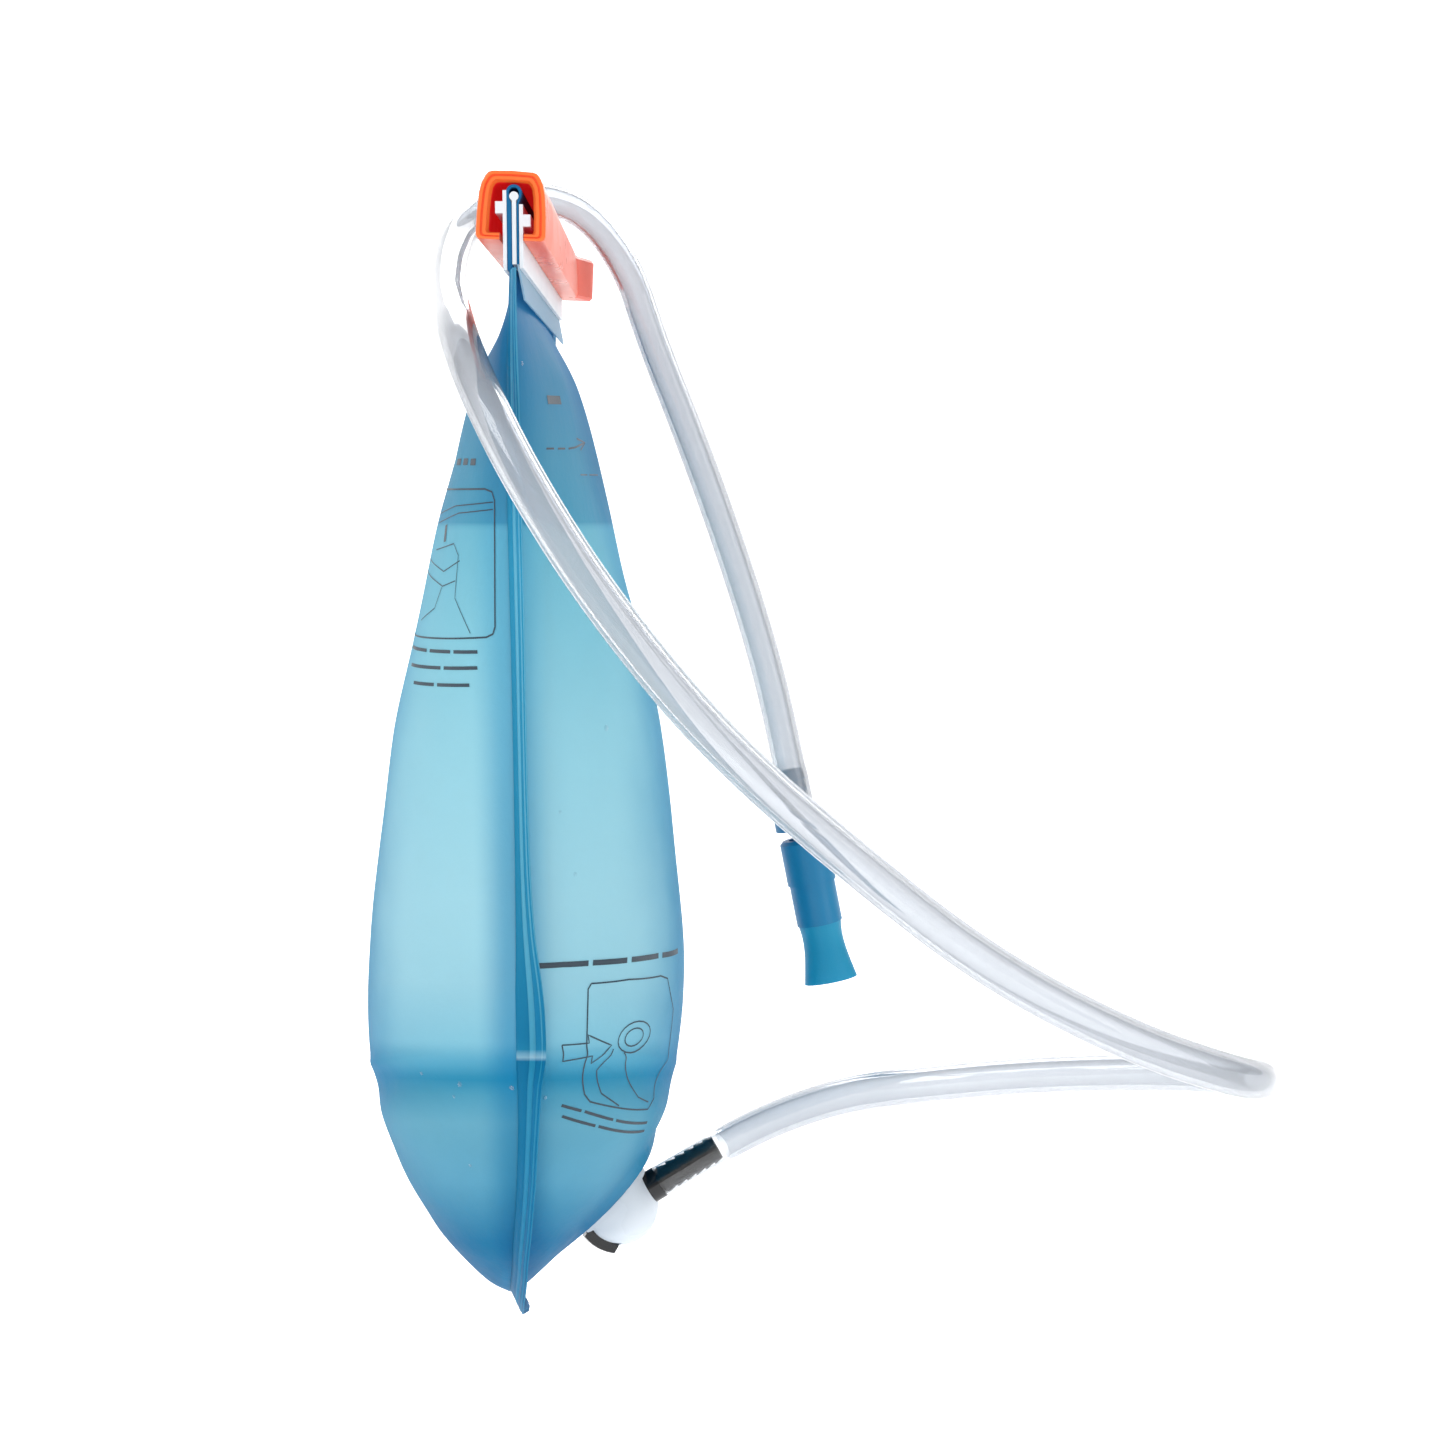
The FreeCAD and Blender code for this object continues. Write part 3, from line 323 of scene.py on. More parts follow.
def clear_tube(name, milky, tint):
    """Clear soft tubing with a milky share of gloss: its wall is grey where it is seen edge on, partly its
    own tint through a longer path and partly painted shade for the dark edges that refraction gives.
    """
    material = new_material(name)
    place = add_node(material, "TexCoord").outputs["Object"]
    haze = add_node(material, "TexNoise", {"Vector": place, "Scale": 45.0, "Detail": 3.0})
    normal = bump(material, haze.outputs["Fac"], 0.0002, 0.35)
    # Grey towards the edges: partly the wall's own tint, partly painted shade.
    rim_shade = add_node(material, "LayerWeight", {"Blend": 0.42}).outputs["Facing"]
    wall = mix_colours(material, rim_shade, tint, colour(150, 156, 164))
    gloss = add_node(material, "BsdfPrincipled", {
        "Base Color": wall, "Roughness": 0.06, "IOR": 1.45, "Normal": normal})
    glass = add_node(material, "BsdfPrincipled", {
        "Base Color": wall, "Roughness": 0.04, "IOR": 1.42,
        "Transmission Weight": 1.0, "Normal": normal})
    whole = add_node(material, "MixShader", {
        0: milky, 1: glass.outputs["BSDF"], 2: gloss.outputs["BSDF"]})
    return set_output(material, whole.outputs["Shader"])


def water_drop(name):
    """A clear drop of water."""
    material = new_material(name)
    shader = add_node(material, "BsdfPrincipled", {
        "Base Color": colour(235, 248, 252), "Roughness": 0.02, "IOR": 1.33,
        "Transmission Weight": 0.9})
    return set_output(material, shader.outputs["BSDF"])


def spring_steel(name):
    """Bright drawn wire."""
    material = new_material(name)
    place = add_node(material, "TexCoord").outputs["Object"]
    drawn = add_node(material, "TexNoise", {"Vector": place, "Scale": 2500.0})
    normal = bump(material, drawn.outputs["Fac"], 0.00002)
    shader = add_node(material, "BsdfPrincipled", {
        "Base Color": colour(196, 198, 202), "Metallic": 1.0, "Roughness": 0.28, "Normal": normal})
    return set_output(material, shader.outputs["BSDF"])


FILM = film("film_blue", FILM_TONES_WITH_PAINTED_SHADE)
FILM_WELD = film("film_weld", WELD_TONES_WITH_PAINTED_LIGHT, 0.45, 0.03)
FILM_WELD_PALE = film("film_weld_pale", WELD_PALE_TONES_WITH_PAINTED_LIGHT, 0.5, 0.05)
FILM_FOLD = film("film_fold", FOLD_TONES, 0.4, 0.03)
FILM_FLAP = film("film_flap", FLAP_TONES, 0.5, 0.1)
WHITE = moulded_plastic("white_moulded", colour(236, 240, 244), colour(226, 232, 238), 0.42,
                        translucent=0.25)
HOUSING = moulded_plastic("housing_moulded", colour(232, 238, 244), colour(218, 228, 236), 0.3,
                          translucent=0.3)
# Salmon rather than plain orange: the white surroundings' sheen painted into the orange plastic's colour.
ORANGE_WITH_PAINTED_SHEEN = moulded_plastic("orange_with_painted_sheen", colour(238, 116, 84), colour(232, 104, 72), 0.3,
                         translucent=0.2)
ORANGE_FACE = moulded_plastic("orange_cut_face", colour(232, 106, 40), colour(224, 96, 34), 0.4)
# The groove and the inside of the orange slider glow: painted light.
ORANGE_GROOVE_PAINTED_GLOW = moulded_plastic("orange_groove_painted_glow", colour(214, 78, 32), colour(206, 70, 30), 0.5, painted_glow=0.3)
ORANGE_INSIDE_PAINTED_GLOW = moulded_plastic("orange_inside_painted_glow", colour(196, 20, 22), colour(180, 12, 18), 0.5, painted_glow=0.55)
ORANGE_DEEP = moulded_plastic("orange_deep", colour(224, 70, 30), colour(216, 62, 26), 0.42)
BLACK = moulded_plastic("black_moulded", colour(10, 11, 14), colour(14, 16, 19), 0.24, grain=0.000004)
RUBBER = moulded_plastic("black_rubber", colour(30, 31, 33), colour(38, 39, 41), 0.6)
BLUE = moulded_plastic("blue_moulded", colour(0, 126, 172), colour(0, 118, 166), 0.42, translucent=0.15)
SILICONE = moulded_plastic("blue_silicone", colour(0, 158, 198), colour(0, 148, 190), 0.46, translucent=0.3)
INK = moulded_plastic("black_ink", colour(22, 44, 58), colour(30, 52, 66), 0.5)
TUBE = clear_tube("clear_tubing", 0.22, colour(232, 235, 239))
TUBE_SOCKET = clear_tube("stretched_tubing", 0.0, colour(250, 251, 252))
DROP = water_drop("water_drop")
STEEL = spring_steel("spring_wire")


# ---------------------------------------------------------------- mesh helpers

def mesh_piece(name, points, faces, materials, body, sharp=40, choose=None):
    """A smooth-shaded mesh in metres. choose gives each face's material, and a piece given no body is
    attached to none."""
    mesh = bpy.data.meshes.new(name)
    mesh.from_pydata([tuple(point) for point in points], [], faces)
    for material in materials:
        mesh.materials.append(material)
    for index, polygon in enumerate(mesh.polygons):
        polygon.use_smooth = True
        if choose:
            polygon.material_index = choose(index)
    mesh.set_sharp_from_angle(angle=math.radians(sharp))
    mesh.update()
    piece = bpy.data.objects.new(name, mesh)
    bpy.context.scene.collection.objects.link(piece)
    if body:
        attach(piece, body)
    return piece


def strip_faces(rows, columns, close_rows=False, close_columns=False):
    """Faces of a grid whose points are listed row by row."""
    faces = []
    for row in range(rows if close_rows else rows - 1):
        for column in range(columns if close_columns else columns - 1):
            here = row * columns
            after = (row + 1) % rows * columns
            beside = (column + 1) % columns
            faces.append((here + column, here + beside, after + beside, after + column))
    return faces


def frame_along(axis):
    """Two unit vectors across an axis."""
    across = axis.orthogonal().normalized()
    return across, axis.cross(across).normalized()


def channel(name, pairs, near, far, levels, materials, body, choose=None, sharp=35):
    """A length along Y of a wall between paired outer and inner points, in millimetres. levels shape its
    two ends: how far a ring lies from the outer line to the inner one, and how deep it is sunk."""
    rings = [(share, near + depth) for share, depth in levels]
    rings += [(share, far - depth) for share, depth in reversed(levels)]
    points = []
    for share, y in rings:
        for outer, inner in pairs:
            x = outer[0] + (inner[0] - outer[0]) * share
            z = outer[1] + (inner[1] - outer[1]) * share
            points.append(Vector((x, y, z)) * MM)
    columns = len(pairs)
    faces = strip_faces(len(rings), columns, close_rows=True)
    first = tuple(ring * columns for ring in range(len(rings)))
    faces.append(first)
    faces.append(tuple(corner + columns - 1 for corner in reversed(first)))
    return mesh_piece(name, points, faces, materials, body, sharp, choose)


def smooth_step(low, high, value):
    """0 at low and before it, 1 at high and past it, with an even ease between."""
    share = min(max((value - low) / (high - low), 0.0), 1.0)
    return share * share * (3 - 2 * share)


def read_rows(rows, height):
    """A table's values at a height, on smooth curves through its rows, which go downwards."""
    if height >= rows[0][0]:
        return rows[0][1:]
    if height <= rows[-1][0]:
        return rows[-1][1:]
    after = next(index for index, row in enumerate(rows) if row[0] < height)
    before = after - 1
    low, high = rows[before], rows[after]
    span = high[0] - low[0]
    share = (height - low[0]) / span
    values = []
    for column in range(1, len(low)):
        slopes = []
        for index in (before, after):
            left = rows[max(index - 1, 0)]
            right = rows[min(index + 1, len(rows) - 1)]
            slopes.append((right[column] - left[column]) / (right[0] - left[0]) * span)
        values.append(
            (2 * share ** 3 - 3 * share ** 2 + 1) * low[column]
            + (share ** 3 - 2 * share ** 2 + share) * slopes[0]
            + (3 * share ** 2 - 2 * share ** 3) * high[column]
            + (share ** 3 - share ** 2) * slopes[1])
    return values


# ---------------------------------------------------------------- pouch

# The crease across each film: its height half way between the welds, its climb towards them, the
# ridge along it and the valley under it.
CREASE_MIDDLE = -233.5
CREASE_CLIMB = 0.31
RIDGE, RIDGE_WIDTH = 1.1, 1.6
VALLEY, VALLEY_WIDTH, VALLEY_BELOW = 2.6, 5.0, 6.5
PLEAT, PLEAT_SPACING = 0.45, 7.5
UNEVEN, UNEVEN_ALONG, UNEVEN_DOWN = 0.7, 26, 34

FILM_ROWS, FILM_COLUMNS = 236, 73
# The film round the port: it is flat out to one radius and free past the other, lies this far under
# the port's centre, and has a hole that the water leaves by.
PORT_FLAT, PORT_FREE = 14, 27
PORT_DEPTH = 4.6
PORT_NEAR = 16
HOLE_RADIUS, HOLE_REACH = 0.0064, 0.008

# The weld's section outwards from the films' edge: distance and half thickness, its darker bands,
# how many steps it takes down each side, its line round the bottom, and how much less it leans at
# the far side.
WELD_BANDS = [(-0.8, 0.30), (0.0, 0.42), (2.2, 0.42), (2.5, 0.18), (2.8, 0.45), (4.0, 0.45), (4.3, 0.18),
              (4.6, 0.45), (5.9, 0.45), (6.2, 0.20), (6.5, 0.34), (7.0, 0.22)]
WELD_DARK = (0, 1, 2, 3, 6, 7, 9, 10)
WELD_STEPS = 150
WELD_FOOT = [(-7.5, y, -298.6) for y in (-7.5, -4.0, 0.0, 4.0, 7.5)]
FAR_LEAN = 0.35

# How near a mark may come to a film's furthest bow, and how far its ink stands off the film.
MARK_REACH = 0.985
INK_PROUD = 0.12
CIRCLE_STEPS = 20


def circle(x, height, radius):
    """The corners of a round mark."""
    angles = [math.tau * step / CIRCLE_STEPS for step in range(CIRCLE_STEPS + 1)]
    return [(x + radius * math.cos(angle), height + radius * math.sin(angle)) for angle in angles]


# The marks on each film, as line width and then corners, each a distance across and a height.
LEFT_MARKS = [
    (0.45, (-27, -67.6), (-8.4, -67.2), (-6.4, -67.9), (-5.7, -70.0), (-6.3, -101.6), (-6.9, -103.4),
     (-8.6, -104.3), (-36, -107.4)),
    (1.7, (-17.4, -60.4), (-15.8, -60.4)),
    (1.7, (-15.0, -60.4), (-13.6, -60.4)),
    (1.7, (-12.8, -60.5), (-11.2, -60.5)),
    (0.3, (-24, -74.0), (-17, -71.6), (-6.1, -70.4)),
    (0.3, (-24, -76.4), (-16, -73.4), (-6.2, -72.2)),
    (2.6, (-20.4, -76.6), (-20.8, -81.0)),
    (0.3, (-24, -83.4), (-17.6, -81.2), (-16.2, -84.0), (-17.4, -95.0), (-13.0, -103.6)),
    (0.3, (-27, -86.0), (-21.0, -88.6), (-15.8, -85.4)),
    (0.3, (-28, -89.4), (-21.4, -92.4), (-17.2, -90.6)),
    (0.3, (-29, -102.4), (-24.0, -98.4), (-21.6, -92.6)),
    (0.9, (-33, -110.2), (-26.5, -109.6)),
    (0.9, (-25.5, -109.5), (-19.0, -108.9)),
    (0.9, (-18.0, -108.8), (-11.1, -108.2)),
    (0.9, (-32.6, -114.6), (-22.0, -113.4)),
    (0.9, (-21.0, -113.3), (-11.2, -112.3)),
    (0.9, (-31.0, -118.8), (-24.0, -118.0)),
    (0.9, (-23.0, -117.9), (-13.5, -116.9)),
]
RIGHT_MARKS = [
    (0.5, (6.7, -57.2), (8.4, -57.1)),
    (0.5, (9.2, -57.1), (10.6, -57.0)),
    (0.5, (11.2, -57.0), (12.4, -56.6), (14.4, -55.2)),
    (0.5, (12.6, -54.2), (14.6, -55.1), (13.6, -57.2)),
    (2.2, (7.0, -44.9), (9.2, -44.6)),
    (0.35, (13.7, -63.7), (15.4, -63.7)),
    (0.35, (15.9, -63.7), (18.0, -63.7)),
    (1.5, (3.0, -190.0), (9.0, -190.3), (15.5, -191.0)),
    (1.5, (16.6, -191.1), (21.0, -191.8), (25.5, -192.6)),
    (1.5, (26.7, -192.8), (31.0, -193.8), (34.0, -194.6)),
    (1.5, (35.0, -195.0), (39.2, -196.8)),
    (0.45, (16.2, -196.6), (26.0, -198.0), (34.6, -200.5), (36.3, -202.2), (37.6, -212.0), (36.2, -224.0),
     (33.0, -236.0), (31.0, -238.0), (24.0, -234.0), (16.0, -229.4), (14.9, -227.0), (15.4, -198.0),
     (16.2, -196.6)),
    (0.4, (8.8, -212.0), (15.8, -212.7), (15.5, -210.4), (21.6, -214.8), (16.7, -218.6), (16.4, -216.4),
     (9.2, -216.5), (8.8, -212.0)),
    (0.4, *circle(27.5, -214.5, 4.2)),
    (0.4, *circle(27.5, -214.5, 2.4)),
    (0.4, (22.0, -216.0), (18.6, -221.0), (19.4, -228.0), (23.4, -233.0)),
    (0.4, (24.6, -217.8), (26.4, -224.0), (29.0, -233.0), (31.4, -236.0)),
    (0.8, (8.6, -228.8), (13.6, -231.4)),
    (0.8, (14.4, -231.8), (21.6, -236.4)),
    (0.8, (22.4, -236.9), (30.6, -242.2)),
    (0.8, (8.6, -231.9), (17.0, -236.6)),
    (0.8, (17.8, -237.0), (29.8, -244.6)),
]
# The water drops: side, distance across, height and radius.
DROPS = [
    (1, 1.5, -36.7, 0.6), (1, 20.5, -129.7, 0.9), (1, 12.5, -166.8, 0.6), (-1, -32.0, -223.5, 0.6),
    (-1, -20.1, -223.7, 0.7), (-1, -21.0, -227.4, 0.5), (-1, -4.4, -222.8, 0.7), (1, 4.5, -226.0, 0.6),
    (1, 9.0, -150.0, 0.5), (-1, -16.0, -246.0, 0.5),
]
DROP_RINGS, DROP_STEPS = 4, 12
DROP_FLATNESS = 0.5


def crease_height(y):
    """The fold that runs across each film from one side weld to the other."""
    return CREASE_MIDDLE + CREASE_CLIMB * abs(y)


def folds(side, y, height):
    """How far the film stands out of its plain bow: the crease, soft mouth pleats, unevenness."""
    drop = height - crease_height(y)
    strength = (0.35 + 0.65 * smooth_step(6, 34, abs(y))) * (1.0 if side < 0 else 0.6)
    ridge = RIDGE * math.exp(-(drop / RIDGE_WIDTH) ** 2)
    valley = -VALLEY * math.exp(-((drop + VALLEY_BELOW) / VALLEY_WIDTH) ** 2)
    near_mouth = smooth_step(-105, -45, height) * smooth_step(-20, -34, height)
    pleats = PLEAT * math.cos(y / PLEAT_SPACING) * near_mouth
    uneven = UNEVEN * noise.noise(Vector((side * 3.0, y / UNEVEN_ALONG, height / UNEVEN_DOWN)))
    return strength * (ridge + valley) + pleats + uneven


def film_point(side, share, height):
    """A point on one film, in millimetres: share runs from -1 at the near weld to 1 at the far one."""
    left, right, half_width, weld = read_rows(POUCH_ROWS, height)
    reach = left if side < 0 else right
    bow = max(1 - share * share, 0.0) ** ROUNDNESS
    y = share * half_width
    loose = min(bow * 1.6, 1.0) * min(reach / 20, 1.0)
    stand = side * (reach * bow + folds(side, y, height) * loose)
    point = Vector((weld + stand, y, height))
    if side > 0:
        point = flattened_at_port(point)
    return point


def flattened_at_port(point):
    """The film lies flat on the port's stiff disc."""
    centre = PORT_CENTRE / MM
    out = (point - centre).dot(PORT_OUT)
    foot = point - PORT_OUT * out
    distance = (foot - centre).length
    flat = smooth_step(PORT_FREE, PORT_FLAT, distance) if abs(out) < PORT_NEAR else 0.0
    return point + PORT_OUT * ((-PORT_DEPTH - out) * flat)


def make_film(side):
    """One film from weld to weld: side is -1 on the left and 1 on the right."""
    name = "left_film" if side < 0 else "right_film"
    top, bottom = POUCH_ROWS[0][0], POUCH_ROWS[-1][0]
    points = []
    for row in range(FILM_ROWS):
        height = top + (bottom - top) * row / (FILM_ROWS - 1)
        for column in range(FILM_COLUMNS):
            share = -math.cos(math.pi * column / (FILM_COLUMNS - 1))
            points.append(film_point(side, share, height) * MM)
    faces = strip_faces(FILM_ROWS, FILM_COLUMNS)
    if side > 0:
        faces = [face for face in faces if not in_port_hole([points[index] for index in face])]
    else:
        faces = [tuple(reversed(face)) for face in faces]
    piece = mesh_piece(name, points, faces, [FILM], "pouch", sharp=180)
    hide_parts("left_panel" if side < 0 else "right_panel")
    return piece


def in_port_hole(corners):
    """Whether a face lies in the hole under the port."""
    centre = sum(corners, Vector()) / len(corners) - PORT_CENTRE
    out = centre.dot(PORT_OUT)
    return abs(out) < HOLE_REACH and (centre - PORT_OUT * out).length < HOLE_RADIUS


def weld_edge():
    """The line that the side weld grows from: down the near side, round the bottom, up the far side."""
    top, bottom = POUCH_ROWS[0][0], POUCH_ROWS[-1][0]
    near = []
    for step in range(WELD_STEPS):
        height = top + (bottom - top) * step / (WELD_STEPS - 1)
        _, _, half_width, weld = read_rows(POUCH_ROWS, height)
        near.append(Vector((weld, -half_width, height)))
    far = [Vector((point.x, -point.y, point.z)) for point in reversed(near)]
    return near + [Vector(place) for place in WELD_FOOT] + far


def make_weld():
    """The flat welded band: ribs pressed along it, leaning towards the port on the near side."""
    line = weld_edge()
    count = len(WELD_BANDS)
    points = []
    for index, here in enumerate(line):
        before = line[max(index - 1, 0)]
        after = line[min(index + 1, len(line) - 1)]
        run = after - before
        outward = Vector((0, run.z, -run.y)).normalized()
        lean = math.radians(read_rows(WELD_LEAN, here.z)[0] * (1.0 if here.y < 0 else FAR_LEAN))
        away = outward * math.cos(lean) + Vector((1, 0, 0)) * math.sin(lean)
        face = Vector((1, 0, 0)) * math.cos(lean) - outward * math.sin(lean)
        for distance, half in WELD_BANDS:
            points.append((here + away * distance + face * half) * MM)
        for distance, half in reversed(WELD_BANDS):
            points.append((here + away * distance - face * half) * MM)
    faces = strip_faces(len(line), 2 * count, close_columns=True)

    def choose(index):
        column = index % (2 * count)
        band = column if column < count else 2 * count - 2 - column
        return 0 if band in WELD_DARK else 1

    return mesh_piece("side_weld", points, faces, [FILM_WELD, FILM_WELD_PALE], "pouch",
                      sharp=180, choose=choose)


def mark_point(side, x, height):
    """The place on the near half of a film at this distance across, and the film's outward normal."""
    left, right, _, weld = read_rows(POUCH_ROWS, height)
    reach = left if side < 0 else right
    bow = min(abs(x - weld) / reach, MARK_REACH)
    share = -math.sqrt(1 - bow ** (1 / ROUNDNESS))
    here = film_point(side, share, height)
    beside = film_point(side, share + 0.01, height) - here
    below = film_point(side, share, height - 0.5) - here
    normal = beside.cross(below).normalized()
    return here, normal if normal.x * side > 0 else -normal


def print_lines(name, side, lines):
    """Ink on the film: each line is its width and its corners, as distance across and height."""
    points = []
    faces = []
    for width, *corners in lines:
        line = []
        for before, after in zip(corners, corners[1:]):
            steps = max(2, int(math.dist(before, after) / 0.8))
            line += [(before[0] + (after[0] - before[0]) * step / steps,
                      before[1] + (after[1] - before[1]) * step / steps) for step in range(steps)]
        line.append(corners[-1])
        places = [mark_point(side, x, height) for x, height in line]
        first = len(points)
        for index, (here, normal) in enumerate(places):
            before = places[max(index - 1, 0)][0]
            after = places[min(index + 1, len(places) - 1)][0]
            beside = normal.cross(after - before).normalized() * (width / 2)
            points.append((here + normal * INK_PROUD + beside) * MM)
            points.append((here + normal * INK_PROUD - beside) * MM)
        for index in range(len(places) - 1):
            corner = first + 2 * index
            faces.append((corner, corner + 1, corner + 3, corner + 2))
    return mesh_piece(name, points, faces, [INK], "pouch", sharp=180)


def make_drops():
    """Small water drops on the outside of the film."""
    points = []
    faces = []
    for side, x, height, size in DROPS:
        centre, normal = mark_point(side, x, height)
        across, up = frame_along(normal)
        first = len(points)
        for ring in range(DROP_RINGS):
            rise = math.pi / 2 * ring / (DROP_RINGS - 1)
            for step in range(DROP_STEPS):
                angle = math.tau * step / DROP_STEPS
                spoke = across * math.cos(angle) + up * math.sin(angle)
                offset = spoke * math.cos(rise) * size + normal * math.sin(rise) * size * DROP_FLATNESS
                points.append((centre + offset) * MM)
        dome = strip_faces(DROP_RINGS, DROP_STEPS, close_columns=True)
        faces += [tuple(first + corner for corner in face) for face in dome]
    return mesh_piece("water_drops", points, faces, [DROP], "pouch", sharp=180)


for panel_side in (-1, 1):
    make_film(panel_side)
make_weld()
print_lines("left_marks", -1, LEFT_MARKS)
print_lines("right_marks", 1, RIGHT_MARKS)
make_drops()


# ---------------------------------------------------------------- closure

SLIDER_END = 90.0
ROLL = math.radians(-2.6)
# The slider's wall from one side of its slot over the top to the other: outer and inner corners.
SLIDER_WALL = [
    ((-2.7, -8.0), (-2.7, -6.2)), ((-7.3, -8.0), (-4.9, -6.2)), ((-8.1, -7.7), (-5.2, -6.1)),
    ((-8.4, -6.9), (-5.4, -5.6)), ((-8.3, -2.0), (-5.3, -1.6)), ((-7.9, 3.0), (-5.0, 2.4)),
    ((-7.4, 5.2), (-4.7, 4.2)), ((-6.5, 7.0), (-4.2, 5.1)), ((-5.8, 7.8), (-3.7, 5.5)),
    ((-4.9, 8.1), (-3.0, 5.6)), ((0.0, 8.3), (0.0, 5.6)), ((4.9, 8.1), (3.0, 5.6)),
    ((5.8, 7.8), (3.7, 5.5)), ((6.5, 7.0), (4.2, 5.1)), ((7.4, 5.2), (4.7, 4.2)),
    ((7.9, 3.0), (5.0, 2.4)), ((8.3, -2.0), (5.3, -1.6)), ((8.4, -6.9), (5.4, -5.6)),
    ((8.1, -7.7), (5.2, -6.1)), ((7.3, -8.0), (4.9, -6.2)), ((3.1, -8.0), (3.1, -6.2)),
]
SLIDER_LEVELS = [(0.0, 0.5), (0.04, 0.1), (0.12, 0.0), (0.32, 0.0), (0.37, 0.45), (0.47, 0.45), (0.52, 0.1),
                 (0.78, 0.1), (0.84, 0.7), (1.0, 1.6)]
GROOVE_LEVELS = (3, 4, 5)
SLIDER_MATERIALS = [ORANGE_WITH_PAINTED_SHEEN, ORANGE_FACE, ORANGE_GROOVE_PAINTED_GLOW, ORANGE_INSIDE_PAINTED_GLOW]
OUTSIDE, CUT_FACE, GROOVE, INSIDE = range(4)
# The wings at the slider's far end: places along it, how far across they reach there, and where they
# start from.
WING_REACH = [(74.0, 7.7), (78.0, 9.0), (82.0, 10.5), (86.0, 11.9), (88.6, 12.6), (90.0, 12.5)]
WING_ROOT = 7.0
WING_CORNERS = 6
# The films go up beside the rod and round its bulb, whose centre this is.
BULB_CENTRE = Vector((0.5, 3.3))
BULB_OUTER, BULB_INNER = 1.92, 1.18
BULB_STEPS = 12
LOOP_END = 89.0
LOOP_LEVELS = [(0.0, 0.15), (0.15, 0.0), (0.85, 0.0), (1.0, 0.15)]


def rolled(place):
    """A place on the slider's section, turned with its roll."""
    x, z = place
    return x * math.cos(ROLL) - z * math.sin(ROLL), x * math.sin(ROLL) + z * math.cos(ROLL)


def slider_finish(face):
    """The cut ends, their groove and the inside each have their own tone: the groove and the inside glow
    with painted light, and the outside's salmon is a painted sheen.
    """
    level = face // (len(SLIDER_WALL) - 1)
    last = len(SLIDER_LEVELS) - 1
    if level == last:
        return INSIDE
    if level > 2 * last:
        return OUTSIDE
    return GROOVE if min(level, 2 * last - level) in GROOVE_LEVELS else CUT_FACE


def make_slider():
    """The closure bar and the wing on each side of its far end."""
    wall = [(rolled(outer), rolled(inner)) for outer, inner in SLIDER_WALL]
    piece = channel("closure_slider", wall, -SLIDER_END, SLIDER_END, SLIDER_LEVELS, SLIDER_MATERIALS,
                    "slider", choose=slider_finish)
    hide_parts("slider")
    for side, name in ((-1, "slider_wing_left"), (1, "slider_wing_right")):
        points = []
        for y, reach in WING_REACH:
            for x, z in ((WING_ROOT, -7.9), (reach - 0.8, -7.9), (reach, -7.1), (reach, 3.9),
                         (reach - 0.8, 4.8), (WING_ROOT, 5.0)):
                x, z = rolled((side * max(x, WING_ROOT), z))
                points.append(Vector((x, y, z)) * MM)
        faces = strip_faces(len(WING_REACH), WING_CORNERS, close_columns=True)
        near_cap = tuple(range(WING_CORNERS))
        far_cap = tuple(reversed(range(len(points) - WING_CORNERS, len(points))))
        faces += [near_cap, far_cap]
        if side > 0:
            faces = [tuple(reversed(face)) for face in faces]
        mesh_piece(name, points, faces, [ORANGE_DEEP], "slider", sharp=35)


def make_mouth_loop():
    """Both films together go up left of the rod, round its bulb and down its right side."""
    wall = [((-1.22, -15.0), (-0.06, -15.0)), ((-1.22, -6.0), (-0.06, -6.0)), ((-1.25, 0.6), (-0.06, 0.6)),
            ((-1.42, 2.2), (-0.66, 2.3))]
    for step in range(BULB_STEPS + 1):
        angle = math.pi * (1 - step / BULB_STEPS)
        spoke = Vector((math.cos(angle), math.sin(angle)))
        wall.append((tuple(BULB_CENTRE + spoke * BULB_OUTER), tuple(BULB_CENTRE + spoke * BULB_INNER)))
    wall += [((2.2, 2.3), (1.66, 2.3)), ((1.62, 0.6), (1.06, 0.6)), ((1.62, -6.0), (1.06, -6.0)),
             ((1.62, -13.6), (1.06, -13.6))]
    piece = channel("mouth_loop", wall, -LOOP_END, LOOP_END, LOOP_LEVELS, [FILM_FOLD], "pouch")
    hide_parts("folded_mouth")


make_slider()
make_mouth_loop()


# ---------------------------------------------------------------- hose

HOSE_STEPS = 40
# The hose's first stretch is over the plug's barbs and its last one over the bite valve's. At each
# the radii change over a short length.
SOCKET_LENGTH = 0.021
PLUG_EASE = (0.018, 0.024)
BITE_EASE = (0.016, 0.012)


def read_spline(name, controls):
    """Points along the smooth spline that has these control points."""
    curve = bpy.data.curves.new(name, "CURVE")
    curve.dimensions = "3D"
    curve.resolution_u = 20
    spline = curve.splines.new("NURBS")
    spline.points.add(len(controls) - 1)
    for point, place in zip(spline.points, controls):
        point.co = (*place, 1.0)
    spline.order_u = 3
    spline.use_endpoint_u = True
    holder = bpy.data.objects.new(name, curve)
    mesh = bpy.data.meshes.new_from_object(holder)
    path = [vertex.co.copy() for vertex in mesh.vertices]
    bpy.data.objects.remove(holder)
    bpy.data.curves.remove(curve)
    bpy.data.meshes.remove(mesh)
    return path


